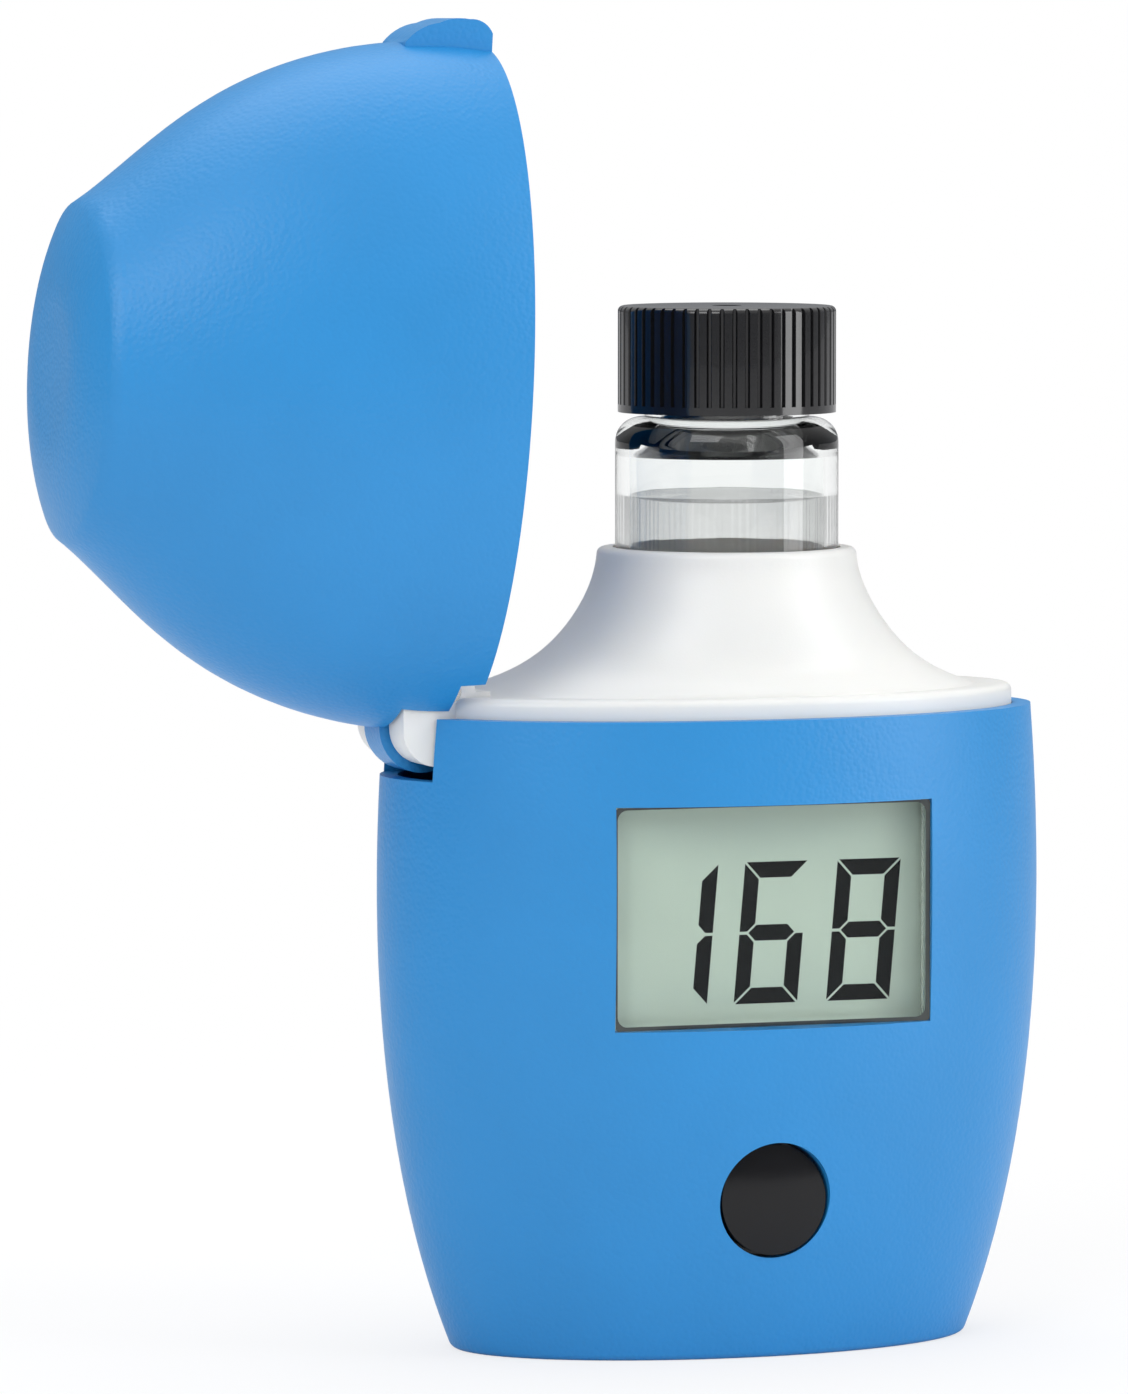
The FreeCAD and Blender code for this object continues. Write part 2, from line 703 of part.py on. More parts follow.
skirt_hollow = column("skirt_hollow", skirt_ring("skirt_wall", "case_height - ledge_drop - 2"), f"{skirt_top} - skirt_wall")
sleeve = rod("sleeve", "z", f"{well_outer} + socket_gap + socket_wall", "case_height",
             "funnel_mid_rise + case_height", ("vial_offset", "0"))
socket_bore = rod("socket_bore", "z", f"{well_outer} + socket_gap", "0", "well_top", ("vial_offset", "0"))
throat_bore = rod("throat_bore", "z", "vial_radius + vial_gap", "0", "throat_height + 1", ("vial_offset", "0"))

# The ears' outline in the XZ plane: a rounded toe low and outward, the pin boss above it
ear_left = "ear_toe_side - ear_toe_radius"
ear_right = "pin_side + ear_root"
ear_foot = "case_height - ear_toe_drop - ear_toe_radius"
pin_hole = rod("pin_hole", "y", "pin_radius + screw_gap", "-ear_outer - 1", "ear_outer + 1",
               ("pin_side", "case_height + pin_rise"))
ears = []
for name, start, end in (("ear_front", "-ear_outer", "-ear_inner"), ("ear_rear", "ear_inner", "ear_outer")):
    toe = rod(name + "_toe", "y", "ear_toe_radius", start, end, ("ear_toe_side", "case_height - ear_toe_drop"))
    boss = rod(name + "_boss", "y", "ear_boss_radius", start, end, ("pin_side", "case_height + pin_rise"))
    cheek = block(name + "_cheek", (ear_left, start, "case_height - ear_toe_drop"),
                  ("ear_toe_side", end, "case_height + pin_rise - ear_boss_radius / 2"))
    trunk = block(name + "_trunk", ("ear_toe_side", start, ear_foot), (ear_right, end, "case_height + pin_rise"))
    ear = fuse(name, toe, boss, cheek, trunk)
    ear.Refine = True
    ears.append(cut(name + "_drilled", ear, pin_hole))
# The skirt is cleared where the ears stand, so that the pin's hole runs through the ears alone
ear_bay = block("ear_bay", (f"-{FAR}", "-ear_outer", "0"), (ear_right, "ear_outer", FAR))
collar_open = carve("collar_open", fuse("collar_blank", skirt, skirt_edge, funnel_rounded), ear_bay,
                    cut("skirt_room", skirt_hollow, sleeve), socket_bore, throat_bore)
keep("top_collar", fuse("top_collar", collar_open, *ears))

# Well: the black tube that the vial stands in, with two bosses for the light path
well_tube = rod("well_tube", "z", well_outer, "vial_bottom - well_floor", "well_top - socket_gap",
                ("vial_offset", "0"))
well_flange = rod("well_flange", "z", "well_flange_radius", "case_height - well_flange_thickness",
                  "case_height", ("vial_offset", "0"))
boss_end = f"{well_outer} + optic_boss_reach"
optic_boss = rod("optic_boss", "x", "optic_boss_radius", f"vial_offset - ({boss_end})",
                 f"vial_offset + {boss_end}", ("0", "optic_height"))
well_bore = rod("well_bore", "z", "vial_radius + vial_gap", "vial_bottom", "well_top + 1", ("vial_offset", "0"))
optic_slit = rod("optic_slit", "x", "optic_slit_radius", f"vial_offset - ({boss_end}) - 1",
                 f"vial_offset + {boss_end} + 1", ("0", "optic_height"))
lamp_bore = rod("lamp_bore", "x", "optic_bore_radius", f"vial_offset + {boss_end} - optic_bore_depth",
                f"vial_offset + {boss_end} + 1", ("0", "optic_height"))
sensor_bore = rod("sensor_bore", "x", "optic_bore_radius", f"vial_offset - ({boss_end}) - 1",
                  f"vial_offset - ({boss_end}) + optic_bore_depth", ("0", "optic_height"))
keep("vial_well", cut("vial_well", fuse("well_blank", well_tube, well_flange, optic_boss),
                      well_bore, optic_slit, lamp_bore, sensor_bore))

# Light source: a short lamp with a domed lens, pushed into the right boss
lamp = turned("light_source", "XY_Plane", [
    ("0", "0"), ("optic_bore_depth - optic_gap", "0"),
    ("optic_bore_depth - optic_gap", "optic_bore_radius - optic_gap"),
    ("lens_length", "optic_bore_radius - optic_gap", "lens_radius", 1), ("0", "lens_flat_radius")], "H_Axis")
place(lamp, f"vial_offset + {boss_end} - optic_bore_depth + optic_gap", "0", "optic_height")

# Filter and detector in the left boss
optic_filter = turned("optical_filter", "XY_Plane", [
    ("0", "0"), ("filter_thickness", "0"), ("filter_thickness", "optic_bore_radius - optic_gap"),
    ("0", "optic_bore_radius - optic_gap")], "H_Axis")
place(optic_filter, f"vial_offset - ({boss_end}) + optic_bore_depth - filter_thickness - optic_gap", "0",
      "optic_height")
detector_length = "optic_bore_depth - filter_thickness - optic_gap * 3"
detector = turned("photodetector", "XY_Plane", [
    ("0", "0"), (detector_length, "0"), (detector_length, "1.5"), (f"{detector_length} - 0.4", "1.5"),
    (f"{detector_length} - 0.4", "optic_bore_radius - optic_gap"), ("0", "optic_bore_radius - optic_gap")],
    "H_Axis")
place(detector, f"vial_offset - ({boss_end}) + optic_gap", "0", "optic_height")


def optic_board(node, start):
    board = new_body(node)
    sketch = rectangle(new_sketch(board, "YZ_Plane", node + "_outline"), "optic_board_width / 2",
                       "optic_board_height / 2")
    pad(board, sketch, "optic_board_thickness", node + "_plate")
    return place(board, start, "0", "optic_height")


optic_board("lamp_board", f"vial_offset + {boss_end}")
optic_board("sensor_board", f"vial_offset - ({boss_end}) - optic_board_thickness")

# Vial: a turned glass bottle with a narrow threaded neck, its filling, liner and cap
glass_inner = "vial_radius - vial_glass"
vial = turned("vial_glass", "XZ_Plane", [
    ("0", "0"),
    ("vial_radius - vial_heel_radius", "0", "vial_heel_radius", 1),
    ("vial_radius", "vial_heel_radius"),
    ("vial_radius", "vial_shoulder_height - vial_bottom", "vial_shoulder_radius", 1),
    ("vial_radius - vial_shoulder_radius", "vial_shoulder_height + vial_shoulder_radius - vial_bottom"),
    ("vial_neck_radius", "vial_shoulder_height + vial_shoulder_radius - vial_bottom"),
    ("vial_neck_radius", "vial_top - vial_bottom"),
    ("vial_bore_radius", "vial_top - vial_bottom"),
    ("vial_bore_radius", "vial_shoulder_height + vial_shoulder_radius - vial_glass - vial_bottom"),
    (glass_inner, "vial_shoulder_height - vial_glass - vial_bottom"),
    (glass_inner, "vial_base_glass"),
    ("0", "vial_base_glass")])
place(vial, "vial_offset", "0", "vial_bottom")
sample = turned("sample_liquid", "XZ_Plane", [
    ("0", "0"), (f"{glass_inner} - screw_gap", "0"),
    (f"{glass_inner} - screw_gap", "fill_height - vial_bottom - vial_base_glass"),
    ("0", "fill_height - vial_bottom - vial_base_glass")])
place(sample, "vial_offset", "0", "vial_bottom + vial_base_glass")
liner = turned("cap_liner", "XZ_Plane", [
    ("0", "0"), ("liner_radius", "0"), ("liner_radius", "liner_thickness"), ("0", "liner_thickness")])
place(liner, "vial_offset", "0", "cap_top - cap_roof - liner_thickness")
cap_height = "cap_top - cap_bottom"
cap = turned("vial_cap", "XZ_Plane", [
    ("cap_bore_radius", "0"), ("cap_radius", "0"),
    ("cap_radius", f"{cap_height} - cap_edge_radius", "cap_edge_radius", 1),
    ("cap_radius - cap_edge_radius", cap_height),
    ("cap_dimple_radius", cap_height),
    ("cap_dimple_radius", f"{cap_height} - cap_dimple_depth"),
    ("0", f"{cap_height} - cap_dimple_depth"),
    ("0", f"{cap_height} - cap_roof"),
    ("cap_bore_radius", f"{cap_height} - cap_roof")])
doc.recompute()
groove_sketch = new_sketch(cap, "XY_Plane", "rib_groove_outline")
outline(groove_sketch, [
    ("cap_radius - rib_groove_depth", "-rib_groove_width / 4"),
    ("cap_radius + 0.2", "-rib_groove_width / 2 - 0.1"),
    ("cap_radius + 0.2", "rib_groove_width / 2 + 0.1"),
    ("cap_radius - rib_groove_depth", "rib_groove_width / 4")])
groove_sketch.AttachmentOffset = FreeCAD.Placement(V(0, 0, 0), FreeCAD.Rotation())
groove_sketch.setExpression("AttachmentOffset.Base.z", bound("cap_plain_band"))
groove = pocket(cap, groove_sketch, f"{cap_height}", "rib_groove", True)
doc.recompute()
ribs = cap.newObject("PartDesign::PolarPattern", "rib_grooves")
ribs.Originals = [groove]
ribs.Axis = (groove_sketch, ["N_Axis"])
ribs.Angle = 360
ribs.setExpression("Occurrences", bound("rib_count"))
cap.Tip = ribs
place(cap, "vial_offset", "0", "cap_bottom")

# Lid: a thin dome of oval sections with a crowned end, drawn closed over the collar
lid_foot = "case_height + lid_gap"


def lid_side_rings(inset, drop):
    return [
        (f"rim_half_width - ({inset})", f"rim_half_depth - ({inset})", lid_foot),
        (f"lid_cheek_width - ({inset})", f"lid_cheek_depth - ({inset})", f"{lid_foot} + lid_cheek_rise"),
        (f"lid_brow_width - ({inset})", f"lid_brow_depth - ({inset})", f"{lid_foot} + lid_brow_rise"),
        (f"lid_arch_width - ({inset})", f"lid_arch_depth - ({inset})", f"{lid_foot} + lid_arch_rise"),
        (f"lid_crest_width - ({inset})", f"lid_crest_depth - ({inset})",
         f"{lid_foot} + lid_crest_rise - ({drop}) / 3"),
        (f"lid_facet_width - ({inset})", f"lid_facet_depth - ({inset})",
         f"{lid_foot} + lid_facet_rise - ({drop})"),
    ]


def lid_crown_rings(inset, drop):
    return [
        (f"lid_facet_width - ({inset})", f"lid_facet_depth - ({inset})",
         f"{lid_foot} + lid_facet_rise - ({drop})"),
        (f"lid_crown_width - ({inset})", f"lid_crown_depth - ({inset})",
         f"{lid_foot} + lid_crown_rise - ({drop})"),
        (f"lid_top_width - ({inset})", f"lid_top_depth - ({inset})", f"{lid_foot} + lid_top_rise - ({drop})"),
    ]


lid_outside = fuse("lid_outside", loft("lid_side", lid_side_rings("0", "0")),
                   loft("lid_crown", lid_crown_rings("0", "0")))
lid_inside = fuse("lid_inside", loft("lid_side_inner", lid_side_rings("lid_wall", "lid_crown_wall")),
                  loft("lid_crown_inner", lid_crown_rings("lid_wall", "lid_crown_wall")))
lid_dome = cut("lid_dome", lid_outside, lid_inside)
lid_relief = block("lid_relief", (f"-{FAR}", "-lid_relief_half_width", "0"),
                   ("pin_side + ear_root * 2", "lid_relief_half_width", f"{lid_foot} + lid_relief_rise"))
lid_slots = [block(f"lid_slot_{n}", (f"-{FAR}", start, "0"),
                   ("pin_side + ear_root", end, f"{lid_foot} + lid_slot_rise"))
             for n, (start, end) in enumerate((("-(ear_outer + hinge_gap)", "-knuckle_half_width"),
                                               ("knuckle_half_width", "ear_outer + hinge_gap")))]
# The bow's centre, given where it lies when the lid is open, turned back to the closed lid
bow_x = "(ear_toe_side - pin_side)"
bow_z = "(-ear_toe_drop - pin_rise)"
turn_cos = "cos(lid_open_angle * 1 deg)"
turn_sin = "sin(lid_open_angle * 1 deg)"
angle = math.radians(SIZES["lid_open_angle"])
bow_closed_x = f"pin_side + {bow_x} * {turn_cos} + {bow_z} * {turn_sin}"
bow_closed_z = f"case_height + pin_rise - {bow_x} * {turn_sin} + {bow_z} * {turn_cos}"
bow = rod("knuckle_bow", "y", "knuckle_bow_radius", "-knuckle_half_width", "knuckle_half_width",
          (bow_closed_x, bow_closed_z))
barrel = rod("knuckle_barrel", "y", "knuckle_boss_radius", "-knuckle_half_width", "knuckle_half_width",
             ("pin_side", "case_height + pin_rise"))
tab = new_body("lid_tab")
del parts["lid_tab"]
tab_sketch = outline(new_sketch(tab, "XZ_Plane", "lid_tab_outline"), [
    ("-tab_root", "0"), ("tab_reach * 0.5", "0", "tab_reach * 0.9", 1),
    ("tab_reach", "tab_height * 0.27", "tab_height * 0.6", 1),
    ("tab_reach * 0.8", "tab_height * 0.62", "tab_height * 0.6", 1),
    ("0", "tab_height"), ("-tab_root", "tab_height")])
tab_pad = pad(tab, tab_sketch, "tab_half_width * 2", "lid_tab_pad")
tab_pad.Midplane = True
place(tab, "rim_half_width", "0", lid_foot)
lid_cut = cut("lid_cut", lid_dome, lid_relief, *lid_slots)
lid_whole = fuse("lid_whole", lid_cut, bow, barrel, tab)
lid_bore = rod("lid_bore", "y", "pin_radius + pin_gap", "-knuckle_half_width - 1", "knuckle_half_width + 1",
               ("pin_side", "case_height + pin_rise"))
lid_closed = cut("lid_closed", lid_whole, lid_bore)
doc.recompute()
pin_point = V(SIZES["pin_side"], 0, SIZES["case_height"] + SIZES["pin_rise"])
lid = keep("lid_shell", doc.addObject("Part::Feature", "lid_shell"))
lid.Shape = lid_closed.Shape
lid.Placement = FreeCAD.Placement(V(), FreeCAD.Rotation(V(0, -1, 0), SIZES["lid_open_angle"]), pin_point)

hinge_pin = turned("hinge_pin", "XY_Plane", [
    ("0", "-ear_outer"), ("pin_radius", "-ear_outer"), ("pin_radius", "ear_outer"), ("0", "ear_outer")])
place(hinge_pin, "pin_side", "0", "case_height + pin_rise")

# Display: clear window from behind, then the panel in its frame, then the contact strip
window = slab("lcd_window", "display_width / 2 + window_lip", "display_tall / 2 + window_lip",
              "window_lip_thickness")
doc.recompute()
step_sketch = rectangle(new_sketch(window, "XZ_Plane", "window_step_outline"),
                        "display_width / 2 - window_gap", "display_tall / 2 - window_gap")
pad(window, step_sketch, "window_lip_thickness + window_seat - window_front", "window_step")
doc.recompute()
front_face = [f"Face{n}" for n, face in enumerate(window.Tip.Shape.Faces, start=1)
              if face.BoundBox.YMax < value("window_front - window_seat - window_lip_thickness") + 0.01]
bevel = window.newObject("PartDesign::Chamfer", "window_bevel")
bevel.Base = (window.Tip if window.Tip.Name != bevel.Name else bevel.BaseFeature, front_face)
bevel.setExpression("Size", bound("window_chamfer"))
place(window, "0", "window_seat + window_lip_thickness", "display_height")

panel_middle = "(panel_bottom + panel_top) / 2"
panel_front = "window_seat + window_lip_thickness + frame_gap / 2"
panel = slab("lcd_panel", "panel_width / 2", "(panel_top - panel_bottom) / 2", "panel_thickness")
place(panel, "0", f"{panel_front} + panel_thickness", panel_middle)

frame = slab("lcd_frame", "panel_width / 2 + frame_gap + frame_wall",
             "(panel_top - panel_bottom) / 2 + frame_gap + frame_wall",
             "window_lip_thickness + frame_gap / 2 + panel_thickness + frame_hook")
doc.recompute()
frame_hole = rectangle(new_sketch(frame, "XZ_Plane", "frame_hole_outline"), "panel_width / 2 - frame_wall",
                       "(panel_top - panel_bottom) / 2 + frame_gap")
pocket(frame, frame_hole, "frame_hook + 0.01", "frame_hole", True)
doc.recompute()
frame_bay = new_sketch(frame, "XZ_Plane", "frame_bay_outline")
rectangle(frame_bay, "panel_width / 2 + frame_gap", "(panel_top - panel_bottom) / 2 + frame_gap")
frame_bay.setExpression("AttachmentOffset.Base.z", bound("frame_hook"))
pocket(frame, frame_bay, "panel_thickness * 3", "frame_bay", True)
doc.recompute()
frame_half = "(panel_top - panel_bottom) / 2"
frame_notch = outline(new_sketch(frame, "XZ_Plane", "frame_notch_outline"), [
    ("vial_offset - frame_notch_half", frame_half), ("vial_offset + frame_notch_half", frame_half),
    ("vial_offset + frame_notch_half", f"{frame_half} + frame_wall * 2"),
    ("vial_offset - frame_notch_half", f"{frame_half} + frame_wall * 2")])
pocket(frame, frame_notch, "frame_hook + frame_gap", "frame_notch", True)
place(frame, "0", f"{panel_front} + panel_thickness + frame_hook", panel_middle)

zebra = slab("contact_strip", "zebra_length / 2", "(zebra_top - zebra_bottom) / 2",
             f"board_front - ({panel_front} + panel_thickness)")
place(zebra, "0", "board_front", "(zebra_bottom + zebra_top) / 2")

# Main board with clipped lower corners, and what is soldered to it
board = new_body("main_board")
board_sketch = new_sketch(board, "XZ_Plane", "main_board_outline")
outline(board_sketch, [
    ("-(board_half_width - board_corner)", "board_bottom"), ("board_half_width - board_corner", "board_bottom"),
    ("board_half_width", "board_bottom + board_corner"), ("board_half_width", "board_top"),
    ("-board_half_width", "board_top"), ("-board_half_width", "board_bottom + board_corner")])
for side, height in BOARD_SCREWS:
    circle(board_sketch, "board_screw_radius + 0.2", side, height)
pad(board, board_sketch, "board_thickness", "main_board_plate")
board_back = "board_front + board_thickness"
place(board, "0", board_back)

chip = slab("microcontroller", "chip_size / 2", "chip_size / 2", "chip_thickness")
place(chip, "chip_side", f"{board_back} + chip_thickness", "chip_height")
capacitor = rod("capacitor", "y", "capacitor_radius", board_back, f"{board_back} + capacitor_length",
                ("capacitor_side", "capacitor_height"))
resistors = [block(f"resistor_{n}",
                   (f"resistor_side + resistor_pitch * {n}", board_back, "resistor_height"),
                   (f"resistor_side + resistor_pitch * {n} + resistor_width",
                    f"{board_back} + resistor_thickness", "resistor_height + resistor_length"))
             for n in range(int(SIZES["resistor_count"]))]


def group(node, things):
    # Like pieces in one node, each its own solid
    bunch = keep(node, doc.addObject("Part::Compound", node))
    bunch.Links = things
    return bunch


group("board_components", [capacitor] + resistors)

switch = slab("switch_body", "switch_size / 2", "switch_size / 2", "switch_depth")
doc.recompute()
switch_bore = new_sketch(switch, "XZ_Plane", "switch_bore_outline")
circle(switch_bore, "plunger_radius + touch_gap * 2")
switch_bore.setExpression("AttachmentOffset.Base.z", bound("switch_depth"))
pocket(switch, switch_bore, "plunger_inside + button_travel + touch_gap", "switch_bore")
place(switch, "0", "board_front", "button_height")
plunger_tip = "board_front - switch_depth - plunger_proud"
plunger = turned("switch_plunger", "XY_Plane", [
    ("0", "0"), ("plunger_radius", "0"), ("plunger_radius", "plunger_proud + plunger_inside"),
    ("0", "plunger_proud + plunger_inside")])
place(plunger, "0", plunger_tip, "button_height")

# Power button: a domed disc in the round hole, a flange behind the wall and a stem to the switch
button = turned("power_button", "XY_Plane", [
    ("0", "button_front - button_dome"),
    ("0", f"{plunger_tip} - touch_gap"), ("button_stem_radius", f"{plunger_tip} - touch_gap"),
    ("button_stem_radius", "button_flange_front + button_flange_thickness"),
    ("button_flange_radius", "button_flange_front + button_flange_thickness"),
    ("button_flange_radius", "button_flange_front"), ("button_radius", "button_flange_front"),
    ("button_radius", "button_front", "button_crown_radius", -1),
    ("button_flat_radius", "button_front - button_dome")])
place(button, "0", "0", "button_height")

# Cell lying across the foot of the case, in a cradle with a rail and end walls
cell = turned("battery_cell", "XY_Plane", [
    ("0", "0"), ("0", "cell_radius"), ("cell_length", "cell_radius"), ("cell_length", "cell_nub_radius"),
    ("cell_length + cell_nub", "cell_nub_radius"), ("cell_length + cell_nub", "0")], "H_Axis")
place(cell, "cell_left", "cell_depth", "cell_height")
nub_end = "cell_left + cell_length + cell_nub + cell_gap / 2"
plus = new_body("battery_contact_positive")
pad(plus, rectangle(new_sketch(plus, "YZ_Plane", "positive_outline"), "contact_half", "contact_half"),
    "contact_thickness", "positive_plate")
place(plus, nub_end, "cell_depth", "cell_height")
minus_face = "cell_left - spring_length"
minus = new_body("battery_contact_negative")
pad(minus, rectangle(new_sketch(minus, "YZ_Plane", "negative_outline"), "contact_half", "contact_half"),
    "contact_thickness", "negative_plate")
doc.recompute()
tongue = outline(new_sketch(minus, "XZ_Plane", "tongue_outline"), [
    ("contact_thickness", "-contact_half * 0.8"), ("spring_length + contact_thickness - cell_gap / 2", "-0.3"),
    ("spring_length + contact_thickness - cell_gap / 2", "0.3"), ("contact_thickness", "contact_half * 0.8")])
tongue_pad = pad(minus, tongue, "tongue_half_width * 2", "negative_tongue")
tongue_pad.Midplane = True
place(minus, f"{minus_face} - contact_thickness", "cell_depth", "cell_height")

rail_front = "cell_depth - cell_radius - cell_gap - rail_thickness"
cradle = cut("cradle", block("cradle_block", ("-holder_half_length", rail_front, "holder_bottom"),
                             ("holder_half_length", "holder_back", "holder_rim")),
             rod("cell_room", "x", "cell_radius + cell_gap", f"-{FAR}", FAR, ("cell_depth", "cell_height")))
left_end = f"{minus_face} - contact_thickness"
right_end = f"{nub_end} + contact_thickness"
holder_pieces = [
    cradle,
    block("holder_wall", ("-holder_half_length", rail_front, "holder_bottom"),
          ("holder_half_length", f"{rail_front} + rail_thickness", "rail_top")),
    block("holder_rail", (f"{left_end} - holder_end", rail_front, "rail_bottom"),
          (f"{right_end} + holder_end", f"{rail_front} + rail_thickness", "rail_top")),
    block("holder_end_left", (f"{left_end} - holder_end", rail_front, "rail_bottom"),
          (left_end, "holder_end_back", "rail_top")),
    block("holder_end_right", (right_end, rail_front, "rail_bottom"),
          (f"{right_end} + holder_end", "holder_end_back", "rail_top")),
]
for name, side in (("left", "-holder_foot_side"), ("right", "holder_foot_side")):
    holder_pieces.append(block(
        f"holder_foot_{name}",
        (f"{side} - holder_foot_width / 2", "cell_depth - holder_foot_half", "case_floor"),
        (f"{side} + holder_foot_width / 2", "cell_depth + holder_foot_half", "holder_bottom")))
keep("battery_holder", fuse("battery_holder", *holder_pieces))


# Screws: a turned screw with a slot, copied to its places
def screw(name, side, height, seat, tip, shank, head, head_height):
    stem = rod(name + "_shank", "y", shank, tip, f"{seat} + 0.01", (side, height))
    cap_rod = rod(name + "_head", "y", head, seat, f"{seat} + {head_height}", (side, height))
    slot = block(name + "_slot",
                 (f"{side} - {head}", f"{seat} + {head_height} - screw_slot_depth",
                  f"{height} - screw_slot_width / 2"),
                 (f"{side} + {head}", f"{seat} + {head_height} + 1", f"{height} + screw_slot_width / 2"))
    return cut(name, fuse(name + "_blank", stem, cap_rod), slot)


group("case_screws", [screw(f"case_screw_{n}", side, height, seat, "screw_tip", "screw_radius",
                            "screw_head_radius", "screw_head")
                      for n, (side, height, seat) in enumerate(SCREWS)])
group("board_screws", [screw(f"board_screw_{n}", side, height, board_back, "board_front - board_screw_reach",
                             "board_screw_radius", "board_screw_head_radius", "board_screw_head")
                       for n, (side, height) in enumerate(BOARD_SCREWS)])
keep("cover_screw", screw("cover_screw", "0", "door_screw_height", "door_screw_seat", "door_screw_tip",
                          "door_screw_radius", "door_screw_head_radius", "door_screw_head"))
insert = turned("screw_insert", "XY_Plane", [
    ("door_screw_radius + screw_gap", "-insert_length"), ("insert_radius", "-insert_length"),
    ("insert_radius", "0"), ("door_screw_radius + screw_gap", "0")])
place(insert, "0", "door_joint", "door_screw_height")

doc.recompute()
for thing in doc.Objects:
    if "Invalid" in thing.State or "Error" in thing.State:
        raise RuntimeError(f"{thing.Name} failed: {thing.State}")
for node, thing in parts.items():
    if thing.Shape.isNull() or not thing.Shape.isValid():
        raise RuntimeError(f"{node} has no valid shape")

os.makedirs("parts", exist_ok=True)
for node, thing in parts.items():
    thing.Shape.exportStep(f"parts/{node}.step")
    print(node, len(thing.Shape.Solids), len(thing.Shape.Faces), round(thing.Shape.Volume, 1))
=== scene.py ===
import math

import bmesh
import bpy
from mathutils import Matrix, Vector


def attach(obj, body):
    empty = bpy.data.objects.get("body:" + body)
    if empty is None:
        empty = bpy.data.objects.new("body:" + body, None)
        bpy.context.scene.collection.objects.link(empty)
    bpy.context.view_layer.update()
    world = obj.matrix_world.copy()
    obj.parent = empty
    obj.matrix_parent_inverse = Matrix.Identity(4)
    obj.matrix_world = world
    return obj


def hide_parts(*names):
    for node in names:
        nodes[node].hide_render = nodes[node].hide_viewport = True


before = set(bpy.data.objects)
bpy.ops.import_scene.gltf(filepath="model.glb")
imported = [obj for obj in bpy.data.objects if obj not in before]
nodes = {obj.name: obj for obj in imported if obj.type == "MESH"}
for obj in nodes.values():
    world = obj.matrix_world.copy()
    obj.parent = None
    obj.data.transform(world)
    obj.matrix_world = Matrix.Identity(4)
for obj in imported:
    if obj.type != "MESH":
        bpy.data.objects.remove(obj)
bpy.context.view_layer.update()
MM = 0.001


# Camera, floor and lamps. The lens, place and aim are those of the photograph, fitted to
# the case's rim, base, vial and display. The floor is a matt white sheet that turns plain
# white away from the object, lit by three soft boxes and a pale room.
VIEW_FROM = Vector((-0.300746, -0.795368, 0.117478))
VIEW_ALONG = Vector((0.3386275, 0.93826294, -0.07066874))
lens_data = bpy.data.cameras.new("photo_camera")
lens_data.lens = 248.15
lens_data.sensor_width = 36.0
lens_data.clip_end = 20.0


def linked(name, data):
    # A new object for a camera, lamp or mesh, placed in the scene
    fresh = bpy.data.objects.new(name, data)
    bpy.context.scene.collection.objects.link(fresh)
    return fresh


camera = linked("photo_camera", lens_data)
camera.matrix_world = Matrix.Translation(VIEW_FROM) @ VIEW_ALONG.to_track_quat("-Z", "Y").to_matrix().to_4x4()
bpy.context.scene.camera = camera
bpy.context.scene.view_settings.view_transform = "Standard"


def soft_box(name, place, aim, width, height, watts):
    # A flat lamp that shines at a point
    lamp = bpy.data.lights.new(name, "AREA")
    lamp.shape = "RECTANGLE"
    lamp.size, lamp.size_y, lamp.energy = width, height, watts
    away = Vector(place) - Vector(aim)
    facing = away.to_track_quat("Z", "Y").to_matrix().to_4x4()
    linked(name, lamp).matrix_world = Matrix.Translation(place) @ facing


CHEST = (0.0, 0.0, 0.05)
soft_box("key_box", (-0.75, -0.75, 0.75), CHEST, 0.7, 0.7, 5.2)
soft_box("fill_box", (0.85, -0.65, 0.35), CHEST, 0.5, 0.9, 5.4)
soft_box("top_box", (0.0, 0.25, 1.1), CHEST, 0.9, 0.9, 4.5)


def eye_ray(tree):
    # 1 for a ray that comes straight from the eye or through glass
    rays = tree.nodes.new("ShaderNodeLightPath")
    seen = tree.nodes.new("ShaderNodeMath")
    seen.operation = "MAXIMUM"
    tree.links.new(rays.outputs["Is Camera Ray"], seen.inputs[0])
    tree.links.new(rays.outputs["Is Transmission Ray"], seen.inputs[1])
    return seen.outputs[0]


room = bpy.data.worlds.new("pale_room")
room.use_nodes = True
room_tree = room.node_tree
room_tree.nodes.clear()
room_way = room_tree.nodes.new("ShaderNodeTexCoord")
room_height = room_tree.nodes.new("ShaderNodeSeparateXYZ")
room_tree.links.new(room_way.outputs["Generated"], room_height.inputs[0])
ROOM_LOW, ROOM_HIGH = (0.30, 0.31, 0.33, 1.0), (1.0, 1.0, 1.0, 1.0)
ROOM_FULL = 0.75
ROOM_STRENGTH = 0.75
room_ramp = room_tree.nodes.new("ShaderNodeValToRGB")
room_ramp.color_ramp.elements[0].position = 0.0
room_ramp.color_ramp.elements[0].color = ROOM_LOW
room_ramp.color_ramp.elements[1].position = ROOM_FULL
room_ramp.color_ramp.elements[1].color = ROOM_HIGH
room_tree.links.new(room_height.outputs["Z"], room_ramp.inputs["Fac"])
room_light = room_tree.nodes.new("ShaderNodeBackground")
room_light.inputs["Strength"].default_value = ROOM_STRENGTH
room_tree.links.new(room_ramp.outputs["Color"], room_light.inputs["Color"])
room_white = room_tree.nodes.new("ShaderNodeBackground")
room_white.inputs["Color"].default_value = (1.0, 1.0, 1.0, 1.0)
room_mix = room_tree.nodes.new("ShaderNodeMixShader")
room_tree.links.new(eye_ray(room_tree), room_mix.inputs["Fac"])
room_tree.links.new(room_light.outputs[0], room_mix.inputs[1])
room_tree.links.new(room_white.outputs[0], room_mix.inputs[2])
room_out = room_tree.nodes.new("ShaderNodeOutputWorld")
room_tree.links.new(room_mix.outputs[0], room_out.inputs["Surface"])
bpy.context.scene.world = room

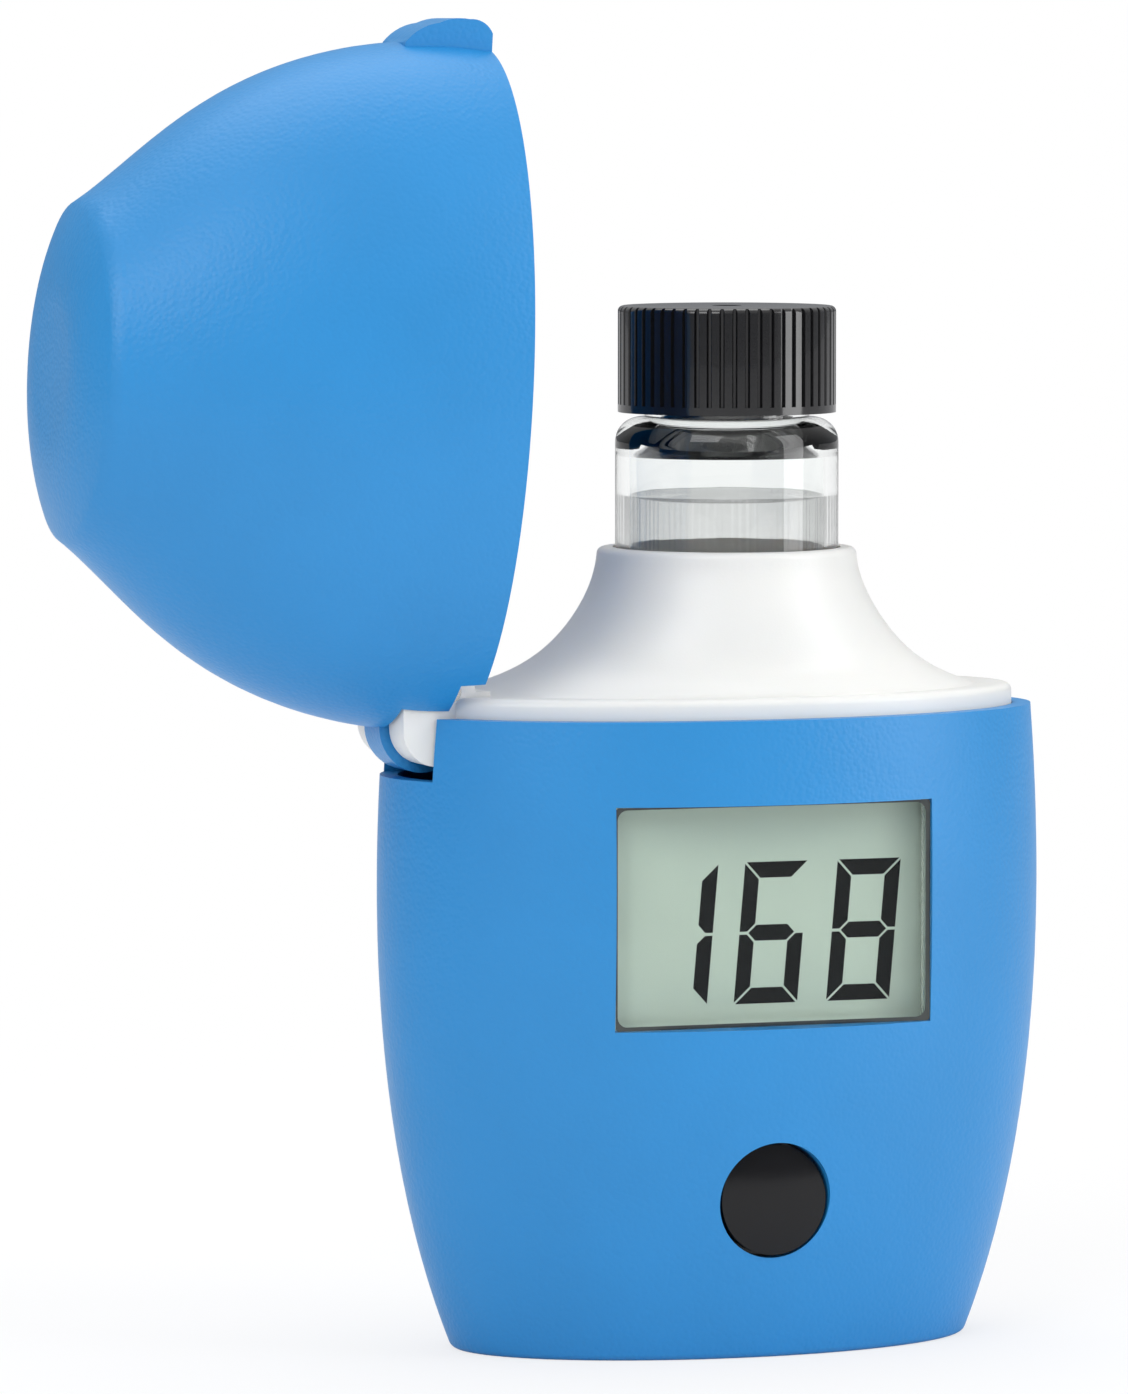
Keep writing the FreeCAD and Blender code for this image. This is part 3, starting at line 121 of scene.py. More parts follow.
sheet_paint = bpy.data.materials.new("floor_sheet")
sheet_paint.use_nodes = True
sheet_tree = sheet_paint.node_tree
sheet_tree.nodes.clear()
sheet_matt = sheet_tree.nodes.new("ShaderNodeBsdfDiffuse")
sheet_matt.inputs["Color"].default_value = (0.88, 0.88, 0.89, 1.0)
sheet_white = sheet_tree.nodes.new("ShaderNodeEmission")
sheet_white.inputs["Color"].default_value = (1.0, 1.0, 1.0, 1.0)
sheet_spot = sheet_tree.nodes.new("ShaderNodeTexCoord")
sheet_far = sheet_tree.nodes.new("ShaderNodeVectorMath")
sheet_far.operation = "LENGTH"
sheet_tree.links.new(sheet_spot.outputs["Object"], sheet_far.inputs[0])
WHITE_FROM, WHITE_FULL = 0.03, 0.30
WHITE_NEAR, WHITE_FAR = 0.72, 1.0
sheet_share = sheet_tree.nodes.new("ShaderNodeMapRange")
sheet_share.inputs["From Min"].default_value = WHITE_FROM
sheet_share.inputs["From Max"].default_value = WHITE_FULL
sheet_share.inputs["To Min"].default_value = WHITE_NEAR
sheet_share.inputs["To Max"].default_value = WHITE_FAR
sheet_tree.links.new(sheet_far.outputs["Value"], sheet_share.inputs["Value"])
sheet_eye = sheet_tree.nodes.new("ShaderNodeMath")
sheet_eye.operation = "MULTIPLY"
sheet_tree.links.new(eye_ray(sheet_tree), sheet_eye.inputs[0])
sheet_tree.links.new(sheet_share.outputs["Result"], sheet_eye.inputs[1])
sheet_mix = sheet_tree.nodes.new("ShaderNodeMixShader")
sheet_tree.links.new(sheet_eye.outputs[0], sheet_mix.inputs["Fac"])
sheet_tree.links.new(sheet_matt.outputs[0], sheet_mix.inputs[1])
sheet_tree.links.new(sheet_white.outputs[0], sheet_mix.inputs[2])
sheet_out = sheet_tree.nodes.new("ShaderNodeOutputMaterial")
sheet_tree.links.new(sheet_mix.outputs[0], sheet_out.inputs["Surface"])
FLOOR_HALF = 9.0
floor_mesh = bpy.data.meshes.new("floor_sheet")
floor_mesh.from_pydata([(-FLOOR_HALF, -FLOOR_HALF, 0), (FLOOR_HALF, -FLOOR_HALF, 0),
                        (FLOOR_HALF, FLOOR_HALF, 0), (-FLOOR_HALF, FLOOR_HALF, 0)], [], [(0, 1, 2, 3)])
floor_mesh.materials.append(sheet_paint)
floor_sheet = linked("floor_sheet", floor_mesh)


# Case: two blue moulded shells, parted front and rear on the mid plane, and the battery
# door in the rear one. ABS with a fine leather grain, screwed together from behind.
def finish(name, colour, roughness, metallic=0.0, mottle=0.06, mottle_size=6.0, **sockets):
    # A plain moulded or metal finish: its colour drifts a little over the piece
    paint = bpy.data.materials.new(name)
    paint.use_nodes = True
    tree = paint.node_tree
    shader = tree.nodes["Principled BSDF"]
    shader.inputs["Roughness"].default_value = roughness
    shader.inputs["Metallic"].default_value = metallic
    for socket, number in sockets.items():
        shader.inputs[socket.replace("_", " ")].default_value = number
    spot = tree.nodes.new("ShaderNodeTexCoord")
    drift = tree.nodes.new("ShaderNodeTexNoise")
    drift.inputs["Scale"].default_value = 1.0 / (mottle_size * MM)
    drift.inputs["Detail"].default_value = 3.0
    tree.links.new(spot.outputs["Object"], drift.inputs["Vector"])
    ramp = tree.nodes.new("ShaderNodeValToRGB")
    ramp.color_ramp.elements[0].position = 0.3
    ramp.color_ramp.elements[1].position = 0.7
    ramp.color_ramp.elements[0].color = [c * (1 - mottle) for c in colour] + [1]
    ramp.color_ramp.elements[1].color = [min(c * (1 + mottle), 1) for c in colour] + [1]
    tree.links.new(drift.outputs["Fac"], ramp.inputs["Fac"])
    tree.links.new(ramp.outputs["Color"], shader.inputs["Base Color"])
    return paint


def node_of(paint, kind):
    # The first node of a kind in a material
    return next(node for node in paint.node_tree.nodes if node.type == kind)


def raise_from(paint, texture, output, height):
    # Bump from one texture, with its height in millimetres
    tree = paint.node_tree
    bump = tree.nodes.new("ShaderNodeBump")
    bump.inputs["Distance"].default_value = height * MM
    tree.links.new(texture.outputs[output], bump.inputs["Height"])
    tree.links.new(bump.outputs["Normal"], tree.nodes["Principled BSDF"].inputs["Normal"])


def grain(paint, pitch, height, kind="leather"):
    # Leather cells, or a fine spark-eroded haze, at a pitch in millimetres
    tree = paint.node_tree
    if kind == "leather":
        cells = tree.nodes.new("ShaderNodeTexVoronoi")
        cells.feature = "SMOOTH_F1"
        cells.inputs["Scale"].default_value = 1.0 / (pitch * MM)
        cells.inputs["Smoothness"].default_value = 0.6
        output = "Distance"
    else:
        cells = tree.nodes.new("ShaderNodeTexNoise")
        cells.inputs["Scale"].default_value = 1.0 / (pitch * MM)
        cells.inputs["Detail"].default_value = 2.0
        output = "Fac"
    tree.links.new(node_of(paint, "TEX_COORD").outputs["Object"], cells.inputs["Vector"])
    raise_from(paint, cells, output, height)
    return paint


BLUE = (0.016, 0.245, 0.59)
case_blue = grain(finish("case_blue", BLUE, 0.42, mottle=0.03, mottle_size=14.0), 0.42, -0.035)
SHARP = math.radians(24)


def dressed(node, name, paint, sharp=SHARP):
    # The node's own solid with its corners joined, so that its curved faces shade as one
    mesh = nodes[node].data.copy()
    mesh.name = name
    work = bmesh.new()
    work.from_mesh(mesh)
    bmesh.ops.remove_doubles(work, verts=work.verts, dist=0.002 * MM)
    for face in work.faces:
        face.smooth = True
        face.material_index = 0
    for edge in work.edges:
        edge.smooth = len(edge.link_faces) == 2 and edge.calc_face_angle() < sharp
    work.to_mesh(mesh)
    work.free()
    mesh.materials.clear()
    mesh.materials.append(paint)
    return linked(name, mesh)


for node, name in (("front_shell", "case_front"), ("rear_shell", "case_rear")):
    shell = dressed(node, name, case_blue)
    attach(shell, "case")
    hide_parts(node)
door = dressed("battery_cover", "battery_door", case_blue)
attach(door, "cover")
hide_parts("battery_cover")


# Lid: a thin blue dome of the same grain, with its knuckle on the hinge pin and the thumb
# tab that snaps over the case's rim. Its flat crown runs softly into the side.
LID_SHARP = math.radians(55)
lid = dressed("lid_shell", "lid_dome", case_blue, LID_SHARP)
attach(lid, "lid")
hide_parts("lid_shell")


# Collar: one warm white moulding in satin ABS, a funnel that seats in the case's mouth. The
# hinge ears stand at its left.
collar_white = grain(finish("collar_white", (0.80, 0.79, 0.765), 0.38, mottle=0.015, mottle_size=18.0,
                            Subsurface_Weight=0.04), 0.16, 0.006, "haze")
collar = dressed("top_collar", "collar_funnel", collar_white)
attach(collar, "case")
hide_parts("top_collar")


# Hinge pin and screws: turned steel, nickel plated, with a faint haze of tool marks. They
# keep their own solids.
def coat(node, paint):
    # A node whose own solid is shown keeps it and takes a new finish
    mesh = nodes[node].data
    mesh.materials.clear()
    mesh.materials.append(paint)


steel = grain(finish("plated_steel", (0.56, 0.56, 0.55), 0.27, metallic=1.0, mottle=0.1, mottle_size=0.8),
              0.12, 0.004, "haze")
for node in ("hinge_pin", "case_screws", "board_screws", "cover_screw"):
    coat(node, steel)


# Well: the black tube in the collar that the vial stands in, matt so that it throws no
# stray light at the detector, with the lamp, filter and detector in its two bosses.
well_black = grain(finish("well_black", (0.012, 0.012, 0.013), 0.62, mottle=0.2), 0.2, 0.01, "haze")
well = dressed("vial_well", "vial_tube", well_black)
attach(well, "case")
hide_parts("vial_well")
coat("light_source", finish("lamp_resin", (0.75, 0.72, 0.55), 0.12, mottle=0.1,
                            Transmission_Weight=0.7, IOR=1.5))
coat("optical_filter", finish("filter_glass", (0.80, 0.42, 0.05), 0.08, mottle=0.05, Transmission_Weight=0.8))
coat("photodetector", finish("detector_resin", (0.03, 0.02, 0.03), 0.2, mottle=0.15))


# Vial: a clear glass bottle with a rounded heel and shoulder. Its neck has a raised screw
# thread, and it stands mostly full of colourless sample with a meniscus at the wall.
clear_glass = finish("vial_glass", (0.97, 0.985, 0.98), 0.0, mottle=0.004, Transmission_Weight=1.0, IOR=1.47)
GLASS_SHARP = math.radians(40)
bottle = dressed("vial_glass", "vial_bottle", clear_glass, GLASS_SHARP)
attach(bottle, "vial")
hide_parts("vial_glass")
VIAL_SIDE = 1.64
NECK_RADIUS = 7.3
THREAD_BEAD = 0.24
THREAD_PITCH = 3.0
THREAD_TURNS = 1.4
THREAD_FOOT = 84.2
thread_tree = bpy.data.node_groups.new("neck_thread", "GeometryNodeTree")
thread_tree.interface.new_socket("Geometry", in_out="OUTPUT", socket_type="NodeSocketGeometry")
for word, number in (("Radius", NECK_RADIUS), ("Bead", THREAD_BEAD), ("Pitch", THREAD_PITCH),
                     ("Turns", THREAD_TURNS), ("Side", VIAL_SIDE), ("Foot", THREAD_FOOT)):
    socket = thread_tree.interface.new_socket(word, in_out="INPUT", socket_type="NodeSocketFloat")
    socket.default_value = number


def scaled(tree, source, factor):
    # A node's value times a factor, such as millimetres to metres
    times = tree.nodes.new("ShaderNodeMath")
    times.operation = "MULTIPLY"
    times.inputs[1].default_value = factor
    tree.links.new(source, times.inputs[0])
    return times.outputs[0]


thread_in = thread_tree.nodes.new("NodeGroupInput")
spiral = thread_tree.nodes.new("GeometryNodeCurveSpiral")
spiral.inputs["Resolution"].default_value = 72
thread_tree.links.new(thread_in.outputs["Turns"], spiral.inputs["Rotations"])
radius_m = scaled(thread_tree, thread_in.outputs["Radius"], MM)
thread_tree.links.new(radius_m, spiral.inputs["Start Radius"])
thread_tree.links.new(radius_m, spiral.inputs["End Radius"])
rise = thread_tree.nodes.new("ShaderNodeMath")
rise.operation = "MULTIPLY"
thread_tree.links.new(thread_in.outputs["Turns"], rise.inputs[0])
thread_tree.links.new(scaled(thread_tree, thread_in.outputs["Pitch"], MM), rise.inputs[1])
thread_tree.links.new(rise.outputs[0], spiral.inputs["Height"])
bead_ring = thread_tree.nodes.new("GeometryNodeCurvePrimitiveCircle")
bead_ring.inputs["Resolution"].default_value = 10
thread_tree.links.new(scaled(thread_tree, thread_in.outputs["Bead"], MM), bead_ring.inputs["Radius"])
bead = thread_tree.nodes.new("GeometryNodeCurveToMesh")
bead.inputs["Fill Caps"].default_value = True
thread_tree.links.new(spiral.outputs["Curve"], bead.inputs["Curve"])
thread_tree.links.new(bead_ring.outputs["Curve"], bead.inputs["Profile Curve"])
thread_spot = thread_tree.nodes.new("ShaderNodeCombineXYZ")
thread_tree.links.new(scaled(thread_tree, thread_in.outputs["Side"], MM), thread_spot.inputs["X"])
thread_tree.links.new(scaled(thread_tree, thread_in.outputs["Foot"], MM), thread_spot.inputs["Z"])
thread_move = thread_tree.nodes.new("GeometryNodeTransform")
thread_tree.links.new(bead.outputs["Mesh"], thread_move.inputs["Geometry"])
thread_tree.links.new(thread_spot.outputs[0], thread_move.inputs["Translation"])


def tree_end(tree, geometry, paint):
    # The usual end of a tree: real copies with their finish
    real = tree.nodes.new("GeometryNodeRealizeInstances")
    tree.links.new(geometry, real.inputs[0])
    coated = tree.nodes.new("GeometryNodeSetMaterial")
    coated.inputs["Material"].default_value = paint
    tree.links.new(real.outputs[0], coated.inputs["Geometry"])
    out = tree.nodes.new("NodeGroupOutput")
    tree.links.new(coated.outputs[0], out.inputs[0])


def grown(tree, name, paint, smooth=True):
    # The plain mesh that a tree makes, as a piece of its own
    seed_mesh = bpy.data.meshes.new(name + "_seed")
    seed = linked(name + "_seed", seed_mesh)
    step = seed.modifiers.new("grow", "NODES")
    step.node_group = tree
    bpy.context.view_layer.update()
    ready = seed.evaluated_get(bpy.context.evaluated_depsgraph_get())
    mesh = bpy.data.meshes.new_from_object(ready)
    mesh.name = name
    bpy.data.objects.remove(seed)
    if smooth:
        mesh.polygons.foreach_set("use_smooth", [True] * len(mesh.polygons))
    return linked(name, mesh)


tree_end(thread_tree, thread_move.outputs[0], clear_glass)
thread = grown(thread_tree, "neck_thread", clear_glass)
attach(thread, "vial")

FILL_BOTTOM = 29.5
FILL_TOP = 75.2
FILL_RADIUS = 8.65
FILL_HEEL = 0.6
MENISCUS = 0.55
MENISCUS_POWER = 9


def turned(name, outline, paint, steps=96, middle=(VIAL_SIDE, 0.0)):
    # A turned solid: an outline of (radius, height) in millimetres, from axis to axis
    mesh = bpy.data.meshes.new(name)
    work = bmesh.new()
    rings = []
    for radius, height in outline:
        if radius == 0:
            rings.append([work.verts.new((middle[0] * MM, middle[1] * MM, height * MM))])
            continue
        ring = []
        for n in range(steps):
            turn = 2 * math.pi * n / steps
            ring.append(work.verts.new(((middle[0] + radius * math.cos(turn)) * MM,
                                        (middle[1] + radius * math.sin(turn)) * MM, height * MM)))
        rings.append(ring)
    for low, high in zip(rings, rings[1:]):
        for n in range(steps):
            after = (n + 1) % steps
            corners = [low[n % len(low)], low[after % len(low)],
                       high[after % len(high)], high[n % len(high)]]
            work.faces.new(list(dict.fromkeys(corners)))
    bmesh.ops.recalc_face_normals(work, faces=work.faces)
    for face in work.faces:
        face.smooth = True
    work.to_mesh(mesh)
    work.free()
    mesh.materials.append(paint)
    return linked(name, mesh)


# The water is a grey see-through layer of painted shade, faint in the middle and deeper where its side or top
# turns away from the eye
WATER_SHADE_START = 0.35
WATER_SHADE_MIDDLE, WATER_SHADE_EDGE = 0.07, 0.62
# Painted shade: the water's grey colour and its opacity, rising towards the rim, stand in for the darkening
# that the water's bending of light gives at its sides
water_painted_shade = finish("water_painted_shade", (0.34, 0.35, 0.35), 0.02, mottle=0.02, IOR=1.33)
water_tree = water_painted_shade.node_tree
water_facing = water_tree.nodes.new("ShaderNodeLayerWeight")
water_facing.inputs["Blend"].default_value = 0.5
water_shade_ramp = water_tree.nodes.new("ShaderNodeMapRange")
water_shade_ramp.inputs["From Min"].default_value = WATER_SHADE_START
water_shade_ramp.inputs["To Min"].default_value = WATER_SHADE_MIDDLE
water_shade_ramp.inputs["To Max"].default_value = WATER_SHADE_EDGE
water_tree.links.new(water_facing.outputs["Facing"], water_shade_ramp.inputs["Value"])
water_tree.links.new(water_shade_ramp.outputs["Result"], water_tree.nodes["Principled BSDF"].inputs["Alpha"])
water_foot = [(0, FILL_BOTTOM), (FILL_RADIUS - FILL_HEEL, FILL_BOTTOM),
              (FILL_RADIUS, FILL_BOTTOM + FILL_HEEL)]
water_top = [(FILL_RADIUS * share, FILL_TOP - MENISCUS + MENISCUS * share ** MENISCUS_POWER)
             for share in (1.0, 0.98, 0.95, 0.9, 0.82, 0.7, 0.5)]
sample = turned("water_sample", water_foot + water_top + [(0, FILL_TOP - MENISCUS)], water_painted_shade)
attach(sample, "vial")
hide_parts("sample_liquid")


# Cap: a black phenolic screw cap, ribbed for grip above a plain band, with a small gate
# dimple in its polished top and a white foam liner inside.
cap_black = grain(finish("cap_black", (0.008, 0.008, 0.009), 0.16, mottle=0.15, Coat_Weight=0.4),
                  0.9, 0.004, "haze")
CAP_SHARP = math.radians(18)
cap = dressed("vial_cap", "screw_cap", cap_black, CAP_SHARP)
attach(cap, "cap")
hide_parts("vial_cap")
coat("cap_liner", grain(finish("liner_foam", (0.78, 0.78, 0.75), 0.8, mottle=0.04, mottle_size=1.0),
                        0.15, 0.03))


# Display: a thick clear window with a bevelled edge, pressed in from behind. The grey-green
# panel behind it shows three slanted seven-bar numbers, held by a grey frame. The shade along
# the bevel is painted: a thin dark sheet in front of the window's border, widest at the right and the bottom.
window_clear = finish("window_acrylic", (0.95, 0.975, 0.96), 0.02, mottle=0.004,
                      Transmission_Weight=1.0, IOR=1.2)
WINDOW_SHARP = math.radians(12)
window = dressed("lcd_window", "display_window", window_clear, WINDOW_SHARP)
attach(window, "case")
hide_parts("lcd_window")
coat("lcd_panel", grain(finish("panel_grey_green", (0.52, 0.62, 0.535), 0.35, mottle=0.02, mottle_size=9.0),
                        0.06, 0.002, "haze"))
coat("lcd_frame", grain(finish("frame_grey", (0.07, 0.075, 0.08), 0.5, mottle=0.1), 0.2, 0.01, "haze"))

# Painted shade: a thin dark sheet just in front of the window's border, wider at the right and the bottom,
# stands in for the shade along the bevel
EDGE_FRONT = -16.03
EDGE_BACK = -15.98
EDGE_MIDDLE = 39.24
EDGE_HALF_WIDE, EDGE_HALF_TALL = 14.68, 9.73
EDGE_CORNER = 0.9
SHADE_LEFT, SHADE_RIGHT, SHADE_TOP, SHADE_BOTTOM = 0.16, 0.40, 0.20, 0.34
CORNER_STEPS = 8


def rounded_loop(left, right, low, high, corner):
    # A rounded oblong in the window's plane, the same count of points for any size
    loop = []
    for across, up, start in ((right, low, -90), (right, high, 0), (left, high, 90), (left, low, 180)):
        middle_x = across - corner if across == right else across + corner
        middle_z = up - corner if up == high else up + corner
        for step in range(CORNER_STEPS + 1):
            turn = math.radians(start + 90 * step / CORNER_STEPS)
            loop.append((middle_x + corner * math.cos(turn), middle_z + corner * math.sin(turn)))
    return loop


bevel_shade_outer = rounded_loop(-EDGE_HALF_WIDE, EDGE_HALF_WIDE, EDGE_MIDDLE - EDGE_HALF_TALL,
                          EDGE_MIDDLE + EDGE_HALF_TALL, EDGE_CORNER / 3)
bevel_shade_inner = rounded_loop(SHADE_LEFT - EDGE_HALF_WIDE, EDGE_HALF_WIDE - SHADE_RIGHT,
                          EDGE_MIDDLE - EDGE_HALF_TALL + SHADE_BOTTOM,
                          EDGE_MIDDLE + EDGE_HALF_TALL - SHADE_TOP, EDGE_CORNER)
bevel_shade_mesh = bpy.data.meshes.new("bevel_shade_sheet")
bevel_shade_work = bmesh.new()
bevel_shade_rings = [[bevel_shade_work.verts.new((x * MM, y * MM, z * MM)) for x, z in loop]
              for loop, y in ((bevel_shade_outer, EDGE_BACK), (bevel_shade_outer, EDGE_FRONT),
                              (bevel_shade_inner, EDGE_FRONT), (bevel_shade_inner, EDGE_BACK))]
for ring, after_ring in zip(bevel_shade_rings, bevel_shade_rings[1:] + bevel_shade_rings[:1]):
    for n in range(len(ring)):
        after = (n + 1) % len(ring)
        bevel_shade_work.faces.new([ring[n], ring[after], after_ring[after], after_ring[n]])
bmesh.ops.recalc_face_normals(bevel_shade_work, faces=bevel_shade_work.faces)
bevel_shade_work.to_mesh(bevel_shade_mesh)
bevel_shade_work.free()
# The sheet's near-black colour is painted shade, not a part of the window
bevel_shade_mesh.materials.append(finish("painted_bevel_shade", (0.035, 0.042, 0.04), 0.12, mottle=0.3, mottle_size=3.0))
bevel_shade_sheet = linked("bevel_shade_sheet", bevel_shade_mesh)
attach(bevel_shade_sheet, "case")

DIGIT_FRONT = -12.76
BAR_DEEP = 0.06
BAR_WIDE = 1.4
BAR_GAP = 0.13
SLANT = math.tan(math.radians(5.0))
DIGIT_WIDE = 5.95
DIGIT_TALL = 12.44
DIGIT_FOOT = 31.24
bar_ink = finish("bar_ink", (0.004, 0.005, 0.006), 0.6, mottle=0.2, mottle_size=1.0, Specular_IOR_Level=0.05)
LEVEL, UPRIGHT = 0, 1
half_tall = DIGIT_TALL / 2
BARS = {
    "a": (LEVEL, 0.0, DIGIT_TALL), "b": (UPRIGHT, DIGIT_WIDE, half_tall), "c": (UPRIGHT, DIGIT_WIDE, 0.0),
    "d": (LEVEL, 0.0, 0.0), "e": (UPRIGHT, 0.0, 0.0), "f": (UPRIGHT, 0.0, half_tall),
    "g": (LEVEL, 0.0, half_tall),
}
NUMBERS = [(-4.7 - DIGIT_WIDE, "bc"), (-2.19, "acdefg"), (6.49, "abcdefg")]


def bar_shape(key):
    # One display bar's outline in the digit's own plane, mitred at its ends
    lie, side, foot = BARS[key]
    wide, gap = BAR_WIDE, BAR_GAP
    if lie == UPRIGHT:
        outer, inner = (0.0, wide) if side == 0 else (DIGIT_WIDE, DIGIT_WIDE - wide)
        low = foot + gap
        high = foot + half_tall - gap
        mid = (outer + inner) / 2
        if foot == 0:
            return [(outer, low), (inner, low + wide), (inner, high - wide / 2), (mid, high), (outer, high)]
        return [(outer, low), (mid, low), (inner, low + wide / 2), (inner, high - wide), (outer, high)]
    left, right = gap, DIGIT_WIDE - gap
    if foot == 0:
        return [(left, 0), (right, 0), (right - wide, wide), (left + wide, wide)]
    if foot == DIGIT_TALL:
        return [(left + wide, foot - wide), (right - wide, foot - wide), (right, foot), (left, foot)]
    step = wide / 2
    return [(left + step, foot), (left + 2 * step, foot - step), (right - 2 * step, foot - step),
            (right - step, foot), (right - 2 * step, foot + step), (left + 2 * step, foot + step)]


digit_mesh = bpy.data.meshes.new("display_numbers")
digit_work = bmesh.new()
for left, keys in NUMBERS:
    for key in keys:
        front = []
        back = []
        for across, up in bar_shape(key):
            side = (left + across + SLANT * (up - half_tall)) * MM
            height = (DIGIT_FOOT + up) * MM
            front.append(digit_work.verts.new((side, DIGIT_FRONT * MM, height)))
            back.append(digit_work.verts.new((side, (DIGIT_FRONT + BAR_DEEP) * MM, height)))
        digit_work.faces.new(front)
        digit_work.faces.new(back)
        for n in range(len(front)):
            after = (n + 1) % len(front)
            digit_work.faces.new([front[n], front[after], back[after], back[n]])
bmesh.ops.recalc_face_normals(digit_work, faces=digit_work.faces)
digit_work.to_mesh(digit_mesh)
digit_work.free()
digit_mesh.materials.append(bar_ink)
digits = linked("display_numbers", digit_mesh)
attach(digits, "case")


# Contact strip: a pink silicone bar between panel and board. Its thin conducting layers show
# as fine ridges along it.
BAND_PITCH = 1.6
strip_rubber = finish("strip_rubber", (0.62, 0.30, 0.30), 0.7, mottle=0.05)
strip_tree = strip_rubber.node_tree
strip_bands = strip_tree.nodes.new("ShaderNodeTexWave")
strip_bands.bands_direction = "X"
strip_bands.inputs["Scale"].default_value = 1.0 / (BAND_PITCH * MM)
strip_tree.links.new(node_of(strip_rubber, "TEX_COORD").outputs["Object"], strip_bands.inputs["Vector"])
raise_from(strip_rubber, strip_bands, "Fac", 0.02)
coat("contact_strip", strip_rubber)


# Boards: green glass-fibre laminate with a soldered controller, its legs and small parts.
# The two small boards carry the lamp and the detector.
board_green = grain(finish("board_green", (0.012, 0.12, 0.05), 0.35, mottle=0.35, mottle_size=1.2,
                           Coat_Weight=0.3), 0.5, 0.01)
for node in ("main_board", "lamp_board", "sensor_board"):
    coat(node, board_green)
chip_black = grain(finish("chip_resin", (0.015, 0.015, 0.016), 0.55, mottle=0.2), 0.1, 0.006, "haze")
coat("microcontroller", chip_black)
coat("switch_body", chip_black)
coat("board_components", finish("part_ceramic", (0.16, 0.12, 0.08), 0.4, mottle=0.3, mottle_size=0.9))
PIN_COUNT = 8
PIN_PITCH = 0.8
PIN_SIZE = (0.7, 0.22, 0.3)
PIN_REACH = 0.35
CHIP_MIDDLE = (-3.0, -7.95, 13.5)
CHIP_HALF = 3.5
pin_tree = bpy.data.node_groups.new("chip_legs", "GeometryNodeTree")
pin_tree.interface.new_socket("Geometry", in_out="OUTPUT", socket_type="NodeSocketGeometry")
for word, number in (("Pitch", PIN_PITCH), ("Reach", CHIP_HALF + PIN_REACH)):
    socket = pin_tree.interface.new_socket(word, in_out="INPUT", socket_type="NodeSocketFloat")
    socket.default_value = number
pin_in = pin_tree.nodes.new("NodeGroupInput")
pin_cube = pin_tree.nodes.new("GeometryNodeMeshCube")
pin_cube.inputs["Size"].default_value = [size * MM for size in PIN_SIZE]
pin_join = pin_tree.nodes.new("GeometryNodeJoinGeometry")
first_pin = -(PIN_COUNT - 1) / 2
for hand in (-1, 1):
    row = pin_tree.nodes.new("GeometryNodeMeshLine")
    row.inputs["Count"].default_value = PIN_COUNT
    start = pin_tree.nodes.new("ShaderNodeCombineXYZ")
    pin_tree.links.new(scaled(pin_tree, pin_in.outputs["Reach"], hand * MM), start.inputs["X"])
    pin_tree.links.new(scaled(pin_tree, pin_in.outputs["Pitch"], first_pin * MM), start.inputs["Z"])
    pin_tree.links.new(start.outputs[0], row.inputs["Start Location"])
    gap = pin_tree.nodes.new("ShaderNodeCombineXYZ")
    pin_tree.links.new(scaled(pin_tree, pin_in.outputs["Pitch"], MM), gap.inputs["Z"])
    pin_tree.links.new(gap.outputs[0], row.inputs["Offset"])
    legs = pin_tree.nodes.new("GeometryNodeInstanceOnPoints")
    pin_tree.links.new(row.outputs["Mesh"], legs.inputs["Points"])
    pin_tree.links.new(pin_cube.outputs["Mesh"], legs.inputs["Instance"])
    pin_tree.links.new(legs.outputs[0], pin_join.inputs[0])
pin_move = pin_tree.nodes.new("GeometryNodeTransform")
pin_move.inputs["Translation"].default_value = [place * MM for place in CHIP_MIDDLE]
pin_tree.links.new(pin_join.outputs[0], pin_move.inputs["Geometry"])
tree_end(pin_tree, pin_move.outputs[0], steel)
chip_legs = grown(pin_tree, "chip_legs", steel, smooth=False)
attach(chip_legs, "case")


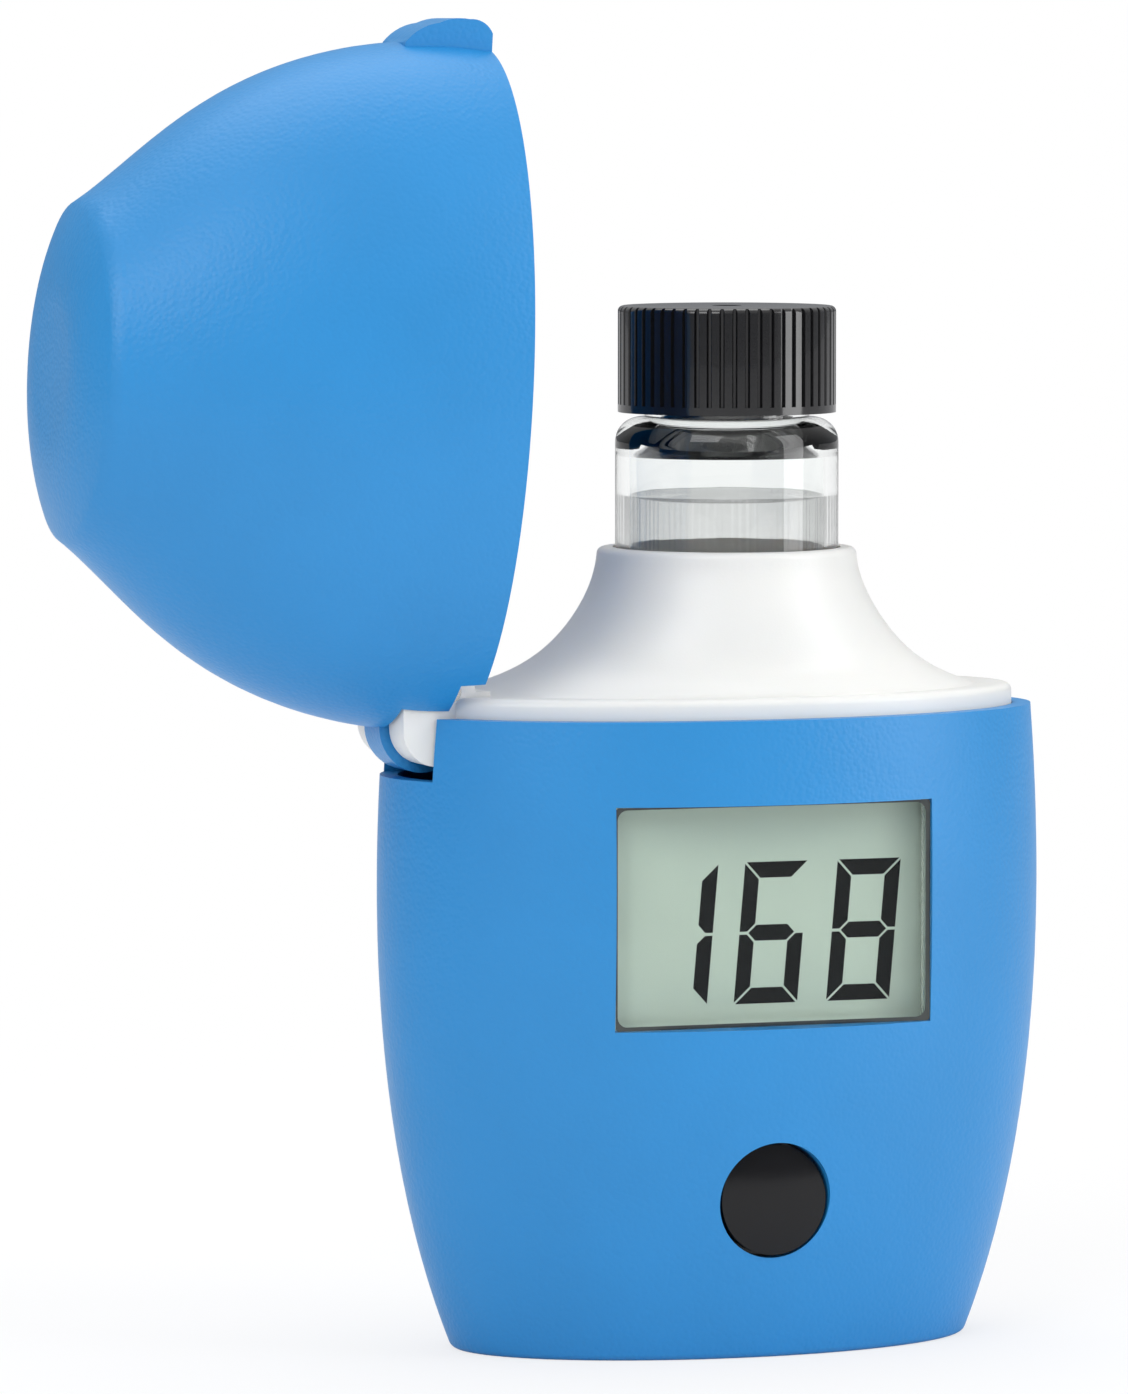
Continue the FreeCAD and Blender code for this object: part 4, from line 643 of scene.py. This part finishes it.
# Button: a glossy black domed disc that rests on the switch's short plunger. Both are of
# the same black resin.
BUTTON_SHARP = math.radians(30)
button_black = grain(finish("button_black", (0.006, 0.006, 0.007), 0.14, mottle=0.1, Specular_IOR_Level=0.3),
                     1.2, 0.003, "haze")
button = dressed("power_button", "button_disc", button_black, BUTTON_SHARP)
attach(button, "button")
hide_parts("power_button")
coat("switch_plunger", button_black)


# Battery: one small round cell in a black moulded cradle, between two nickel-plated
# contacts. Its grey jacket turns copper at the positive end.
JACKET_TURN = 11.0
jacket = finish("cell_jacket", (0.055, 0.06, 0.07), 0.3, metallic=0.6, mottle=0.06)
jacket_tree = jacket.node_tree
jacket_band = jacket_tree.nodes.new("ShaderNodeSeparateXYZ")
jacket_tree.links.new(node_of(jacket, "TEX_COORD").outputs["Object"], jacket_band.inputs[0])
jacket_end = jacket_tree.nodes.new("ShaderNodeMath")
jacket_end.operation = "GREATER_THAN"
jacket_end.inputs[1].default_value = JACKET_TURN * MM
jacket_tree.links.new(jacket_band.outputs["X"], jacket_end.inputs[0])
jacket_mix = jacket_tree.nodes.new("ShaderNodeMix")
jacket_mix.data_type = "RGBA"
jacket_tree.links.new(jacket_end.outputs[0], jacket_mix.inputs["Factor"])
jacket_tree.links.new(node_of(jacket, "VALTORGB").outputs["Color"], jacket_mix.inputs["A"])
jacket_mix.inputs["B"].default_value = (0.45, 0.32, 0.10, 1.0)
jacket_tree.links.new(jacket_mix.outputs["Result"], jacket_tree.nodes["Principled BSDF"].inputs["Base Color"])
coat("battery_cell", jacket)
nickel = grain(finish("contact_nickel", (0.66, 0.62, 0.54), 0.3, metallic=1.0, mottle=0.12, mottle_size=1.5),
               0.2, 0.004, "haze")
coat("battery_contact_positive", nickel)
coat("battery_contact_negative", nickel)
coat("battery_holder", grain(finish("holder_black", (0.02, 0.02, 0.021), 0.5, mottle=0.15),
                             0.25, 0.01, "haze"))


# Insert: a brass nut with a rough outside, moulded into the boss that the battery door's
# screw turns in.
coat("screw_insert", grain(finish("insert_brass", (0.60, 0.40, 0.14), 0.25, metallic=1.0, mottle=0.1,
                                  mottle_size=0.6), 0.35, 0.05))
